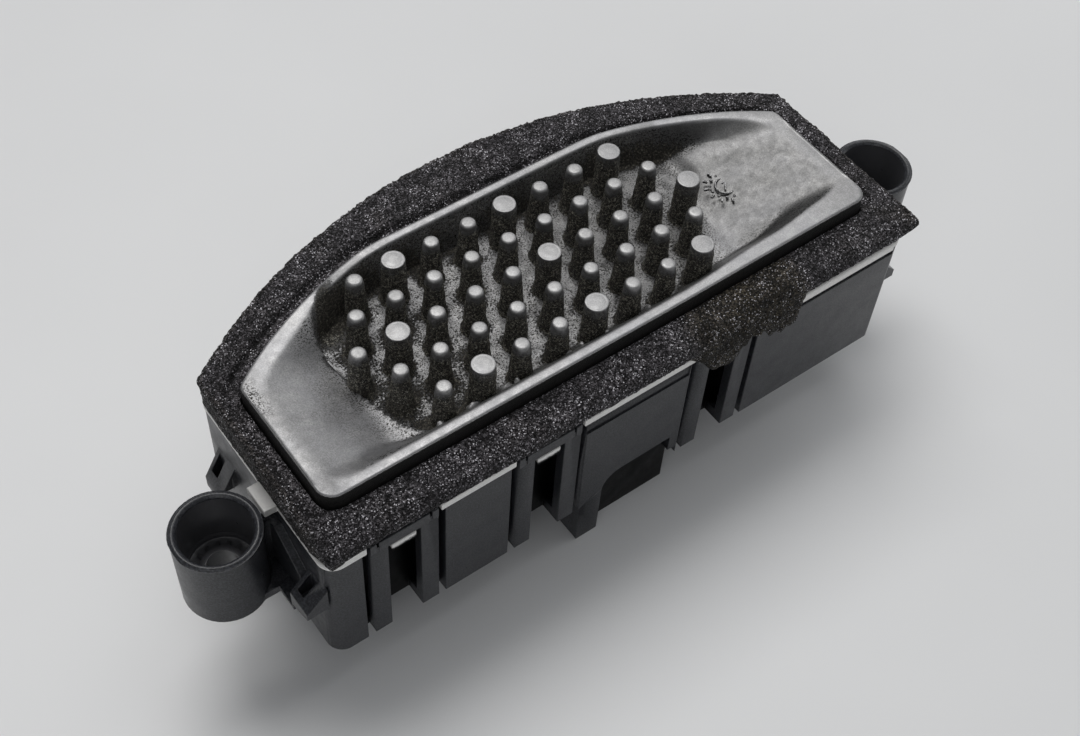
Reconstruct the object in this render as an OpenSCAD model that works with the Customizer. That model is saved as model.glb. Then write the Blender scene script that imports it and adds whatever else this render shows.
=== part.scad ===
// Blower motor resistor (electronic fan speed regulator) for a vehicle heater.
// A cast aluminium pin-fin heat sink with a foam gasket closes a black plastic
// housing that holds the power electronics and the plug-in connector.
// Millimetres. +Z is the pin side, which stands in the air duct; +X runs along
// the long side; the straight front edge faces -Y. The origin is the centre of
// the bounding box, at the underside of the connector.

/* [Body outline] */
// Left end of the flange and housing, measured from the origin
left_end = 51.8; // [51.4:0.1:52]
// Right end of the flange and housing, measured from the origin
right_end = 52.9; // [52.2:0.1:53]
// Front edge of the flange and housing, measured from the origin
front_y = -24.6; // [-25:0.1:-24.2]
// Radius of the bowed back edge
bow_r = 86.6; // [86:0.1:88]
// Furthest point of the bowed back edge
bow_y = 25.4; // [25:0.1:25.8]
// Radius of the left front corner
corner_r = 2.6; // [1.5:0.1:3.5]
// Radius of the right front corner
corner_r2 = 1; // [0.6:0.1:3]

/* [Heat sink] */
// Distance between neighbouring pins
pin_pitch = 6.5; // [6.3:0.05:6.6]
// Centre of the pin field along X
pin_x0 = -3.6; // [-5:0.1:0]
// Centre of the pin field along Y
pin_y0 = -3.1; // [-3.5:0.1:-2.7]
// Height of the pin tops above the underside of the part
pin_top = 43.8; // [43:0.1:45]
// Height of the pit floor that the pins stand on
pit_z = 35.2; // [34.8:0.1:35.6]
// Height of the rim around the tray
rim_z = 41.4; // [40.5:0.1:42]
// Height of the tray's left end ramp where it meets the pit
ramp_z = 36.2; // [36:0.1:36.8]
// Top of the flange
flange_top = 33.5; // [33.3:0.1:33.8]
// Thickness of the flange
flange_t = 1.4; // [1.2:0.1:1.6]
// How far the two side tabs stand out towards the bosses
tab_len = 2; // [1.2:0.1:2]
// Radius of a tapered pin at its foot
pin_r1 = 1.92; // [1.7:0.01:2.1]
// Radius of a tapered pin below its domed cap
pin_r2 = 1.22; // [1:0.01:1.4]
// Radius of a flat-topped ejector pin post at its foot
post_r1 = 2.05; // [1.9:0.01:2.2]
// Radius of a flat-topped ejector pin post at its top
post_r2 = 1.74; // [1.6:0.01:1.85]

/* [Gasket] */
// Height of the foam
foam_t = 5.1; // [4:0.1:5.5]
// How far the foam stands past the flange at the bow
foam_over = 0.45; // [0.2:0.05:0.6]
// How far the top of the foam bulges past the front edge
foam_bulge = 1.25; // [1:0.05:1.4]
// How far the foam stands past the right end of the flange
foam_side = 1; // [0.6:0.1:1.4]
// Gap between the foam and the rim wall
foam_gap = 0.3; // [0.2:0.1:0.6]

/* [Housing] */
// Wall thickness of the housing
wall = 1.8; // [1.6:0.1:2]
// Underside of the housing floor
floor_z = 9.2; // [8.8:0.1:9.6]
// Width of a latch loop
loop_w = 10.9; // [10.5:0.1:11.2]
// Width of a latch loop's window
loop_win = 5.2; // [4.8:0.1:5.4]
// Width of the slot on each side of a latch loop
loop_slot = 1.2; // [1:0.1:1.3]

/* [Mounting bosses] */
// Distance between the two fixing holes
boss_span = 120.7; // [120:0.1:121.5]
// Distance of the fixing holes in front of the origin
boss_y = -10.4; // [-11:0.1:-10]
// Outer radius of a boss
boss_r = 6.25; // [6.1:0.05:6.4]
// Radius of the sleeve in a boss
sleeve_r = 5.15; // [4.9:0.05:5.2]
// Radius of the screw hole
screw_r = 2.3; // [2.1:0.1:2.6]
// Top of a boss
boss_top = 32.9; // [32.5:0.1:33.2]
// Underside of a boss
boss_bot = 18.6; // [18.2:0.1:19]
// Floor of the sleeve
sleeve_z = 22.9; // [22:0.1:23.5]

/* [Connector] */
// Left side of the connector shroud
con_x0 = -8.2; // [-8.4:0.1:-8]
// Right side of the connector shroud
con_x1 = 10.5; // [10.3:0.1:10.6]
// Front face of the connector shroud
con_y0 = -22.5; // [-22.6:0.1:-22.3]
// Back face of the connector shroud
con_y1 = 8.6; // [8:0.1:9]
// Top of the connector shroud, inside the housing
con_top = 15.6; // [15.4:0.1:16]

/* [Electronics] */
// Underside of the circuit board
board_z = 22.4; // [22.2:0.1:22.6]
// Thickness of the circuit board
board_t = 1.6; // [1.5:0.1:1.6]
// Height of the power packages
pack_t = 4.4; // [4.3:0.1:4.6]
// Thickness of the insulating sheet
sheet_t = 0.3; // [0.2:0.05:0.4]

/* [Hidden] */
$fn = 64;

bow_c = bow_y - bow_r;          // centre of the bowed edge
flange_z = flange_top - flange_t;
row_y = pin_pitch * sqrt(3) / 2; // rows stand in a hexagonal lattice
rows = [8, 9, 10, 9, 8];         // pins in each row, back to front
posts = [[1, 4, 7], [], [1, 5, 9], [], [1, 4, 7]]; // flat-topped ones
loops_x = [-39.55, -15.1, 17.3]; // latch loops on the front
back_loops = [-20, 20];          // latch loops on the bow, degrees
loop_top = 33.2;
win_top = 30.7;
win_bot = 11.4;
rim_half = 47.8;
rim_front = -20.0;
rim_back = 14.5;
side_c = [8.13, -51.4];          // centre of the rim's slanted back arcs
side_r = 67;
pack_z = flange_z - sheet_t - pack_t;
clamp_t = 0.7;
board_top = board_z + board_t;
dark = [0.10, 0.10, 0.11];
metal = [0.62, 0.63, 0.65];

// ---- plan shapes ------------------------------------------------------

// flange and housing outline, moved in by d
module plan(d = 0)
    intersection() {
        translate([0, bow_c]) circle(r = bow_r - d, $fn = 180);
        base(left_end - d, right_end - d, front_y + d);
    }

// front, ends and front corners of that outline
module base(l, r, y) {
    translate([-l + corner_r, y]) square([l + r - corner_r - corner_r2, 60]);
    translate([-l, y + corner_r]) square([l + 10, 60]);
    translate([-l + corner_r, y + corner_r]) circle(r = corner_r);
    translate([10, y + corner_r2]) square([r - 10, 60]);
    translate([r - corner_r2, y + corner_r2]) circle(r = corner_r2);
}

// one end of the rim outline, moved in by d
module rim_end(d) {
    r = 3.0;
    intersection() {
        translate(side_c) circle(r = side_r - d, $fn = 180);
        translate([-4, rim_front + d])
            square([60, rim_back - rim_front - 2 * d]);
        union() {
            translate([-4, rim_front]) square([rim_half - d - r + 4, 60]);
            translate([-4, rim_front + d + r]) square([rim_half - d + 4, 60]);
            translate([rim_half - d - r, rim_front + d + r]) circle(r = r);
        }
    }
}

// whole rim outline, moved in by d
module rim(d = 0) {
    rim_end(d);
    mirror([1, 0]) rim_end(d);
}

// points on the rim outline for the smooth dish, moved in by d
function side_y(x, d) = side_c[1] + sqrt(pow(side_r - d, 2)
    - pow(x - side_c[0], 2));
function half_pts(d) = concat(
    [for (k = [0:5]) let (x = 20.3 + k * (rim_half - d - 2 - 20.3) / 5)
        [x, min(rim_back - d, side_y(x, d))]],
    [[rim_half - d, min(rim_back - d, side_y(rim_half - d, d)) - 0.3]],
    [for (a = [0:30:90]) [rim_half - d - 3 + 3 * cos(a),
        rim_front + d + 3 - 3 * sin(a)]]);
function dish_pts(d) = let (h = half_pts(d), n = len(h))
    concat(h, [for (k = [n - 1:-1:0]) [-h[k][0], h[k][1]]]);

// ---- latches ----------------------------------------------------------

// runs its children in the frame of each latch loop: the loop is centred on
// X = 0, with the outer face of the wall at Y = 0 and the inside towards +Y
module at_loops() {
    for (x = loops_x) translate([x, front_y, 0]) children();
    for (a = back_loops)
        translate([0, bow_c, 0]) rotate([0, 0, a + 180])
            translate([0, -bow_r + 0.05, 0]) children();
}

module box(a, b) translate(a) cube(b - a);

// ---- heat sink --------------------------------------------------------

module pin(x, y) {
    h = pin_top - pit_z;
    cap = 0.75;
    translate([x, y, pit_z - 0.3])
        cylinder(h = h + 0.3 - cap, r1 = pin_r1, r2 = pin_r2, $fn = 32);
    translate([x, y, pin_top - cap - 0.01])
        cylinder(h = cap * 0.6 + 0.01, r1 = pin_r2, r2 = pin_r2 * 0.86, $fn = 32);
    translate([x, y, pin_top - cap * 0.4 - 0.01])
        cylinder(h = cap * 0.4 + 0.01, r1 = pin_r2 * 0.86, r2 = pin_r2 * 0.45,
            $fn = 32);
}

module post(x, y)
    translate([x, y, pit_z - 0.3])
        cylinder(h = pin_top - pit_z + 0.3, r1 = post_r1, r2 = post_r2,
            $fn = 32);

module pins()
    for (r = [0:4]) for (k = [0:rows[r] - 1]) {
        x = pin_x0 + (k - (rows[r] - 1) / 2) * pin_pitch;
        y = pin_y0 + (2 - r) * row_y;
        if (len(search(k, posts[r])) > 0) post(x, y);
        else pin(x, y);
    }

module dish() {
    // dished tray, from the rim down to the ramps
    hull() {
        translate([0, 0, rim_z]) linear_extrude(1) polygon(dish_pts(1.75));
        translate([0, 0, ramp_z]) linear_extrude(0.1)
            polygon([[-34.6, -12], [-31.5, -15], [-29, 9.6], [-32, 8],
                [-34.6, 2.3]]);
        translate([0, 0, pit_z]) linear_extrude(0.1)
            polygon([[-20, -14.4], [22.5, -14.4], [25.7, -10.5], [29, -4.1],
                [29.5, 3], [28.5, 8], [25, 10.4], [-20, 10.4]]);
    }
    // pit that the pins stand in, with a step at its left end
    translate([0, 0, pit_z]) linear_extrude(rim_z - pit_z)
        polygon([[-28.5, 11.6], [-30.9, 10.4], [-33.5, 7.1], [-34.5, 2.3],
            [-33.9, -3.3], [-32.5, -9], [-31.5, -12], [-28.6, -13.6],
            [-26, -14.2], [22, -14.2], [25, -10.4], [28.3, -4.1],
            [28.8, 3], [27.9, 8], [25.5, 11.6]]);
}

module lug() {
    box([-2.0, 2.0, 28.7], [2.0, 3.4, flange_z + 0.2]);
    box([-2.0, 0.25, 28.7], [2.0, 3.4, 30.2]);
}

board_feet = [[-36, -14], [36, -14], [-36, 8], [36, 8]];
clamp_feet = [[-10, 3.5], [10, 3.5]];

module heat_sink() color(metal) {
    difference() {
        union() {
            translate([0, 0, flange_z]) linear_extrude(flange_t) plan();
            translate([0, 0, flange_z + 0.2])
                linear_extrude(rim_z - flange_z - 0.2) rim();
            // tabs that point at the bosses
            box([-left_end - tab_len, -12.1, flange_z], [-left_end + 1, -7.3,
                flange_top]);
            box([right_end - 1, -12.1, flange_z], [right_end + tab_len / 2 - 0.1,
                -7.3, flange_top]);
            // deeper edge at the right end of the front
            box([27.6, front_y, 31.2], [right_end - 1.3, front_y + 0.8,
                flange_z + 0.1]);
            for (p = board_feet) translate([p[0], p[1], board_top])
                cylinder(h = flange_z - board_top + 0.5, r = 3);
            for (p = clamp_feet) translate([p[0], p[1], pack_z])
                cylinder(h = flange_z - pack_z + 0.5, r = 3.4);
        }
        dish();
        // coring under the two ramps
        for (s = [-1, 1]) translate([s * 41.5, -9, flange_z - 1])
            linear_extrude(3.2) polygon([[-3.4, -7.4], [3.6, -7.4], [3.6, 8.4],
                [-3.4, 11.4]]);
        // notches for the latch loops
        at_loops() box([-loop_w / 2 - 0.5, -1, flange_z - 1],
            [loop_w / 2 + 0.5, 2.0, flange_top + 1]);
        for (p = board_feet) translate([p[0], p[1], board_top - 1])
            cylinder(h = 8, r = 1.5);
        for (p = clamp_feet) translate([p[0], p[1], pack_z - 1])
            cylinder(h = 6.5, r = 1.5);
    }
    at_loops() lug();
    pins();
}

// ---- gasket -----------------------------------------------------------

module foam_gasket() color([0.16, 0.15, 0.15])
    difference() {
        union() {
            translate([0, 0, flange_top]) linear_extrude(foam_t)
                intersection() {
                    translate([0, bow_c])
                        circle(r = bow_r + foam_over, $fn = 180);
                    base(left_end - 0.3, right_end + foam_side, front_y + 0.4);
                }
            // the front side leans out, towards the top
            translate([-left_end + 1.6, 0, 0]) rotate([90, 0, 90])
                linear_extrude(left_end + right_end + foam_side - 2.2)
                polygon([[front_y + 0.4, flange_top],
                    [front_y - foam_bulge, flange_top + foam_t - 1],
                    [front_y - foam_bulge, flange_top + foam_t],
                    [front_y + 4, flange_top + foam_t],
                    [front_y + 4, flange_top]]);
        }
        translate([0, 0, flange_top - 1]) linear_extrude(foam_t + 2)
            rim(-foam_gap);
    }

// ---- housing ----------------------------------------------------------

module wedge(points, y0, y1)
    // prism of an X-Z outline, from y0 to y1
    translate([0, y1, 0]) rotate([90, 0, 0]) linear_extrude(y1 - y0)
        polygon(points);

// wedge-shaped guide on the left end wall, its roof open in one corner;
// it starts at y, and its outer edge is at height z, out to -x
module guide(y, x, z, top, pocket) {
    w = -left_end + 0.3;
    m = (top - z) / (x + w);     // slope of the roof
    difference() {
        intersection() {
            wedge([[w, top], [w, 18], [-x, 18], [-x, z]], y, y + 4.6);
            translate([-60, 0, 0]) rotate([90, 0, 90]) linear_extrude(20)
                polygon([[y - 1, z - 1.1], [y + 5, z - 3.4], [y + 5, 30],
                    [y - 1, 30]]);
        }
        wedge([[w - 0.4, 30], [w - 0.4, z - 1.2], [-x + 0.8, z - 1.2],
            [-x + 0.8, z + 0.1], [-x + 1.6, 30]], y + 2.3, y + 3.9);
        // hollow behind the front face, open at the bottom
        if (pocket) wedge([[w - 0.2, 17], [w - 0.2, top - 0.2 * m - 1],
            [-x + 0.5, z + 0.5 * m - 1], [-x + 0.5, 17]], y - 1, y + 1.7);
    }
}

// cuts with an open slot the shape of a rounded notch in an X-Z outline
module notch(x0, x1, z0, z1, r, y0, y1)
    translate([0, y1, 0]) rotate([90, 0, 0]) linear_extrude(y1 - y0) {
        translate([x0 + r, z0]) square([x1 - x0 - r, z1 - z0]);
        translate([x0, z0]) square([x1 - x0, z1 - z0 - r]);
        translate([x0 + r, z1 - r]) circle(r = r);
    }

module ear() {
    bx = -boss_span / 2;
    difference() {
        union() {
            translate([bx, boss_y, boss_bot])
                cylinder(h = boss_top - boss_bot - 0.3, r = boss_r, $fn = 96);
            translate([bx, boss_y, boss_top - 0.31])
                cylinder(h = 0.31, r1 = boss_r, r2 = boss_r - 0.3, $fn = 96);
            // flat plate under the boss, out to the end wall
            box([bx, boss_y - boss_r + 0.8, boss_bot], [-left_end + 0.4,
                boss_y + boss_r - 0.8, boss_bot + 1.6]);
            box([-55, -19.7, boss_bot + 0.6], [-left_end + 0.4,
                boss_y - boss_r + 0.9, boss_bot + 2]);
            // upright web
            box([bx, boss_y - 0.8, boss_bot], [-left_end + 0.4,
                boss_y + 0.7, 29.6]);
            // sloping rib from the web to the front guide
            translate([-left_end - 1.2, 0, 0]) rotate([90, 0, 90])
                linear_extrude(1.6) polygon([[boss_y - 0.7, 29.6],
                    [boss_y - 0.7, boss_bot], [-19.8, boss_bot + 1],
                    [-19.8, 24.2], [boss_y - 2.2, 29.6]]);
        }
        // sleeve with a small seat at its foot, and screw hole
        translate([bx, boss_y, sleeve_z + 0.8])
            cylinder(h = 20, r = sleeve_r, $fn = 96);
        translate([bx, boss_y, sleeve_z])
            cylinder(h = 2, r = sleeve_r - 0.25, $fn = 96);
        translate([bx, boss_y, boss_top - 0.45])
            cylinder(h = 0.5, r1 = sleeve_r, r2 = sleeve_r + 0.5, $fn = 96);
        translate([bx, boss_y, boss_bot - 1])
            cylinder(h = 20, r = screw_r, $fn = 64);
    }
    // serrated collar round the screw hole
    translate([bx, boss_y, sleeve_z - 0.1]) {
        difference() {
            cylinder(h = 0.8, r = screw_r + 0.9, $fn = 64);
            translate([0, 0, -1]) cylinder(h = 3, r = screw_r, $fn = 64);
        }
        for (a = [0:24:359]) rotate([0, 0, a])
            translate([screw_r + 0.8, -0.25, 0]) cube([0.9, 0.5, 0.6]);
    }
}

module alcove_block()
    box([-loop_w / 2 - loop_slot - 1.2, 0.6, floor_z],
        [loop_w / 2 + loop_slot + 1.2, 5.1, flange_z - 0.05]);

module alcove_space() {
    // room behind the loop, open at the top
    box([-loop_w / 2 - loop_slot, wall, win_bot],
        [loop_w / 2 + loop_slot, 3.8, flange_z + 5]);
    // slots on both sides of the loop
    for (s = [-1, 1]) translate([s * (loop_w + loop_slot) / 2, 0, 0])
        box([-loop_slot / 2, -1, floor_z - 1], [loop_slot / 2, wall + 0.1,
            flange_z + 5]);
    // window, open at the bottom: the two legs stand on feet behind them
    box([-loop_win / 2, -1, floor_z - 1], [loop_win / 2, 3.8, win_top]);
}

module loop_head()
    // the crossbar stands up into the notch of the flange
    difference() {
        box([-loop_w / 2, 0, flange_z - 1], [loop_w / 2, wall, loop_top]);
        box([-loop_win / 2, -1, flange_z - 3], [loop_win / 2, 9, win_top]);
        for (s = [-1, 1])
            box([s * (loop_w / 2 - 1.2) - 0.2, -1, flange_z - 1.8],
                [s * (loop_w / 2 - 1.2) + 0.2, 9, flange_z + 9]);
    }

pin_slots = [ // blade slots in the connector roof: x, y, half x, half y
    [-2.6, -15.2, 0.45, 3.2], [4.9, -15.2, 0.45, 3.2],
    [-2.6, 1.2, 0.45, 3.2], [4.9, 1.2, 0.45, 3.2],
    [1.15, -17.0, 0.37, 0.37], [1.15, -13.4, 0.37, 0.37]];

module housing() color(dark) {
    difference() {
        union() {
            difference() {
                translate([0, 0, floor_z])
                    linear_extrude(flange_z - floor_z - 0.05) plan(0.1);
                translate([0, 0, floor_z + 2]) linear_extrude(40)
                    plan(0.1 + wall);
            }
            intersection() {
                at_loops() alcove_block();
                translate([0, 0, floor_z]) linear_extrude(40) plan(0.1);
            }
            box([con_x0, con_y0, 0], [con_x1, con_y1, con_top]);
            // leg beside the connector, flush with the front wall
            box([con_x0, front_y + 0.1, 0], [-4.1, con_y0 + 0.5, floor_z + 6]);
            ear();
            mirror([1, 0, 0]) ear();
            for (s = [0, 1]) mirror([s, 0, 0]) {
                guide(-23.8, 55, 23.7, 27, false);
                guide(1.2, 54.6, 20.4, 25.9, true);
            }
            // low ribs on the floor
            for (x = [-44, 38]) box([x, -17, floor_z + 1], [x + 1.2, 5,
                floor_z + 3.2]);
        }
        at_loops() alcove_space();
        // notch under the front wall, in front of the connector
        notch(-4.1, 9.0, -5, 14.3, 3.5, front_y - 1, con_y0);
        box([8.9, front_y - 1, -1], [con_x1 + 0.1, con_y0, floor_z + 1.6]);
        // step along the top of the panel
        box([-8.6, front_y - 1, 29.5], [10.5, front_y + 0.4, flange_z + 1]);
        // rebate under the deeper edge of the flange
        box([27.4, front_y - 1, 30.3], [right_end - 1.1, front_y + 0.95,
            flange_z + 1]);
        // two plug sockets
        for (y = [[-20.9, -9.6], [-4.9, 7.1]])
            box([con_x0 + 1.6, y[0], -1], [con_x1 - 1.6, y[1],
                con_top - 1.8]);
        for (p = pin_slots)
            box([p[0] - p[2], p[1] - p[3], 5], [p[0] + p[2], p[1] + p[3],
                con_top + 5]);
    }
    at_loops() loop_head();
}

// ---- electronics ------------------------------------------------------

module circuit_board() color([0.05, 0.30, 0.16])
    translate([0, 0, board_z]) linear_extrude(board_t) difference() {
        polygon([[-41, -18], [41, -18], [41, 8], [33, 12.5], [-33, 12.5],
            [-41, 8]]);
        for (p = board_feet) translate(p) circle(r = 1.6);
        for (x = [-20, 0, 20]) for (k = [-1, 0, 1])
            translate([x + 2.54 * k, -9.5]) circle(r = 0.65);
        for (p = [[-2.6, -15.2], [4.9, -15.2], [-2.6, 1.2], [4.9, 1.2]])
            translate([p[0] - 0.5, p[1] - 2.1]) square([1.0, 4.2]);
        for (y = [-17.0, -13.4]) translate([1.15, y]) circle(r = 0.6);
        for (p = cap_leads) translate(p) circle(r = 0.5);
        for (p = choke_leads) translate(p) circle(r = 0.9);
        for (p = sensor_leads) translate(p) circle(r = 0.4);
    }

module insulating_sheet() color([0.55, 0.36, 0.20])
    translate([0, 0, flange_z - sheet_t]) linear_extrude(sheet_t)
        difference() {
            translate([-28, -7.5]) square([56, 18]);
            for (p = clamp_feet) translate(p) circle(r = 3.8);
        }

// flat power package: tab up against the heat sink, legs bent to the board
module power_pack(x) translate([x, 0, pack_z]) {
    color([0.09, 0.09, 0.09]) box([-5, -6, 0], [5, 3.2, pack_t - 0.05]);
    color([0.70, 0.70, 0.70]) difference() {
        box([-5, -5.6, pack_t - 1.3], [5, 9.2, pack_t]);
        translate([0, 6.3, pack_t - 3]) cylinder(h = 6, r = 1.8);
    }
    color([0.75, 0.74, 0.72]) for (k = [-1, 0, 1]) translate([2.54 * k, 0, 0]) {
        box([-0.4, -9.75, 1.6], [0.4, -5.9, 2.1]);
        box([-0.4, -9.75, board_z - pack_z - 1], [0.4, -9.25, 2.1]);
    }
}
module transistor_left() power_pack(-20);
module transistor_right() power_pack(20);
module freewheel_diode() power_pack(0);

module clamp_bar() color([0.60, 0.60, 0.58])
    translate([0, 0, pack_z - clamp_t]) linear_extrude(clamp_t) difference() {
        translate([-25, -0.6]) square([50, 7]);
        for (p = clamp_feet) translate(p) circle(r = 1.7);
    }

module screw(p, z, head_r, head_h, len, under)
    // head below z, thread above it
    translate([p[0], p[1], z]) {
        difference() {
            translate([0, 0, -head_h]) cylinder(h = head_h, r = head_r);
            translate([0, 0, -head_h - 1]) cylinder(h = 2.1, r = 1.0, $fn = 6);
        }
        translate([0, 0, -0.01]) cylinder(h = len, r = 1.42);
    }

module clamp_screws() color([0.66, 0.64, 0.55])
    for (p = clamp_feet) screw(p, pack_z - clamp_t, 2.7, 1.9, 5.4);

module board_screws() color([0.66, 0.64, 0.55])
    for (p = board_feet) screw(p, board_z, 2.6, 1.8, 7.4);

cap_leads = [[-30, -14.2], [-25, -14.2], [-30, 10.2], [-25, 10.2]];
module capacitor(x, y0, y1, lead_y) {
    z = board_z - 5.02;
    color([0.12, 0.12, 0.14]) difference() {
        translate([x, y0, z]) rotate([-90, 0, 0]) union() {
            cylinder(h = y1 - y0, r = 5);
        }
        translate([x, (lead_y < y0 ? y0 + 2.2 : y1 - 3.2), z])
            rotate([-90, 0, 0]) difference() {
                cylinder(h = 1.0, r = 6);
                translate([0, 0, -1]) cylinder(h = 3, r = 4.6);
            }
    }
    near = lead_y < y0 ? y0 : y1;
    color([0.75, 0.75, 0.75]) for (s = [-1, 1]) {
        translate([x + 2.5 * s, min(lead_y - 0.35, near), z])
            rotate([-90, 0, 0])
            cylinder(h = abs(near - lead_y) + 0.45, r = 0.35, $fn = 24);
        translate([x + 2.5 * s, lead_y, z]) cylinder(h = board_z - z + 2.4,
            r = 0.35, $fn = 24);
    }
}
module capacitor_left() capacitor(-27.5, -12.8, -1.0, -14.2);
module capacitor_right() capacitor(-27.5, 0.4, 8.8, 10.2);

choke_leads = [[28, -15.0], [28, 9.0]];
choke_z = 16.4;
module choke_core() color([0.20, 0.20, 0.21])
    translate([28, -12.5, choke_z]) rotate([-90, 0, 0])
        cylinder(h = 19, r = 3.0);

module choke_winding() color([0.72, 0.40, 0.20]) {
    // close wound turns on the ferrite rod
    translate([28, -10.2, choke_z]) rotate([-90, 0, 0])
        rotate_extrude($fn = 64) difference() {
            union() {
                translate([3.05, 0]) square([0.9, 14.4]);
                for (k = [0:8]) translate([3.85, 0.8 + 1.6 * k])
                    circle(r = 0.78, $fn = 24);
            }
            translate([0, -2]) square([3.05, 20]);
        }
    for (e = [[-15.0, -10.0], [4.0, 9.0]])
        translate([28, e[0], choke_z + 3.8]) rotate([-90, 0, 0])
            cylinder(h = e[1] - e[0], r = 0.7, $fn = 32);
    for (p = choke_leads) translate([p[0], p[1], choke_z + 3.8])
        cylinder(h = board_z + 2.3 - choke_z - 3.8, r = 0.7, $fn = 32);
    for (p = choke_leads) translate([p[0], p[1], choke_z + 3.8])
        sphere(r = 0.7, $fn = 32);
}

module shunt_strip() color([0.62, 0.58, 0.52])
    wedge([[14, board_z], [14, board_z - 0.9], [15.4, board_z - 0.9],
        [15.4, board_z - 3], [22.6, board_z - 3], [22.6, board_z - 0.9],
        [24, board_z - 0.9], [24, board_z], [21.8, board_z],
        [21.8, board_z - 2.2], [16.2, board_z - 2.2], [16.2, board_z]],
        -15, -11);

module gull_chip(x, y, l, w, n) {
    z = board_top;
    color([0.08, 0.08, 0.08]) box([x - l / 2, y - w / 2, z + 0.1],
        [x + l / 2, y + w / 2, z + 1.5]);
    color([0.75, 0.75, 0.75]) for (s = [-1, 1]) for (k = [0:n - 1])
        translate([x + (k - (n - 1) / 2) * 1.27, y + s * (w / 2 + 0.5), z])
            box([-0.2, -0.55, 0], [0.2, 0.55, 0.85]);
}
module control_chip() gull_chip(-14, -14.2, 9.9, 3.9, 7);
module driver_chip() gull_chip(12, -14.2, 4.9, 3.9, 4);

module suppressor_diode() {
    color([0.08, 0.08, 0.08]) box([-17.5, 6, board_z - 2.3], [-10.7, 11.8,
        board_z - 0.1]);
    color([0.75, 0.75, 0.75]) for (x = [-18.2, -10.9])
        box([x, 7.4, board_z - 1.2], [x + 0.9, 10.4, board_z]);
}

sensor_leads = [[31.2, 1], [33.8, 1]];
module temperature_sensor() {
    color([0.30, 0.18, 0.10]) translate([32.5, 1, flange_z - 1.6])
        cylinder(h = 1.6, r = 1.9);
    color([0.75, 0.75, 0.75]) for (p = sensor_leads)
        translate([p[0], p[1], board_z - 0.6])
            cylinder(h = flange_z - 1 - board_z + 0.6, r = 0.25, $fn = 24);
}

module chip_part(x, y, l, w, h, top) {
    z = top ? board_top : board_z - h;
    box([x - l / 2, y - w / 2, z], [x + l / 2, y + w / 2, z + h]);
}
module ceramic_capacitors() color([0.70, 0.55, 0.38]) {
    for (x = [-31, -27, -23]) chip_part(x, -15.5, 3.2, 1.6, 1.5, true);
    for (x = [20, 24.5]) chip_part(x, -15.5, 3.2, 1.6, 1.5, true);
    for (y = [-3, 1]) chip_part(-12, y, 3.2, 2.5, 1.8, false);
}
module chip_resistors() color([0.12, 0.12, 0.13]) {
    for (k = [0:4]) chip_part(-31.4 + 2.6 * k, -12.4, 2.0, 1.25, 0.6, true);
    for (k = [0:2]) chip_part(4.2 + 2.2 * k, -11.9, 1.25, 2.0, 0.6, true);
}

// flat blade: foot through the board, blade in the plug socket
module blade(x, y) color([0.72, 0.70, 0.62]) {
    box([x - 0.4, y - 3.15, 6.4], [x + 0.4, y + 3.15, board_z - 1.4]);
    wedge([[x - 0.4, 6.5], [x + 0.4, 6.5], [x + 0.15, 5.4], [x - 0.15, 5.4]],
        y - 2.7, y + 2.7);
    // shoulder that rests on the roof of the socket
    box([x - 0.4, y - 3.7, con_top], [x + 0.4, y + 3.7, con_top + 1.6]);
    box([x - 0.4, y - 2.0, board_z - 1.5], [x + 0.4, y + 2.0, board_top + 0.6]);
}
module supply_blade() blade(-2.6, -15.2);
module ground_blade() blade(4.9, -15.2);
module motor_blade_plus() blade(-2.6, 1.2);
module motor_blade_minus() blade(4.9, 1.2);
module signal_pins() color([0.74, 0.72, 0.60])
    for (y = [-17.0, -13.4]) {
        box([1.15 - 0.32, y - 0.32, 5.6], [1.15 + 0.32, y + 0.32,
            board_top + 0.8]);
        box([1.15 - 0.32, y - 0.8, con_top], [1.15 + 0.32, y + 0.8,
            con_top + 1.2]);
    }

heat_sink();
foam_gasket();
housing();
circuit_board();
insulating_sheet();
transistor_left();
transistor_right();
freewheel_diode();
clamp_bar();
clamp_screws();
board_screws();
capacitor_left();
capacitor_right();
choke_core();
choke_winding();
shunt_strip();
control_chip();
driver_chip();
suppressor_diode();
temperature_sensor();
ceramic_capacitors();
chip_resistors();
supply_blade();
ground_blade();
motor_blade_plus();
motor_blade_minus();
signal_pins();
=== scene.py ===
import math

import bmesh
import bpy
import numpy as np
from mathutils import Matrix, Vector


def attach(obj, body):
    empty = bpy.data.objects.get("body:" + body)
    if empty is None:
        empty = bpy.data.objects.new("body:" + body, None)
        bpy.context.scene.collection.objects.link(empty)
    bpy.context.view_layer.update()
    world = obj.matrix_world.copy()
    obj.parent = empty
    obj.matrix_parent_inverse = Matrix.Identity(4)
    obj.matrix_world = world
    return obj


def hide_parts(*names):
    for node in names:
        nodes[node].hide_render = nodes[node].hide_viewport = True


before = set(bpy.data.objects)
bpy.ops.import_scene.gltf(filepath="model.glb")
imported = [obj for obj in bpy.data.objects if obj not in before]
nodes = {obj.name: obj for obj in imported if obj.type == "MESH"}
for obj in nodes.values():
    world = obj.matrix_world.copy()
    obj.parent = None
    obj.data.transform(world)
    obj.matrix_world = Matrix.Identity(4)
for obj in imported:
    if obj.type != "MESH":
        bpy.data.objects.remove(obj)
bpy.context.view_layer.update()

MM = 0.001
rng = np.random.default_rng(7)

# ---- noise, in millimetres ------------------------------------------------


def hash3(ix, iy, iz, seed):
    h = (ix * 374761393 + iy * 668265263 + iz * 1442695041 + seed * 974634777) & 0xFFFFFFFF
    h = ((h ^ (h >> 13)) * 1274126177) & 0xFFFFFFFF
    h = h ^ (h >> 16)
    return (h & 0xFFFFFF) / float(0x1000000)


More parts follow.
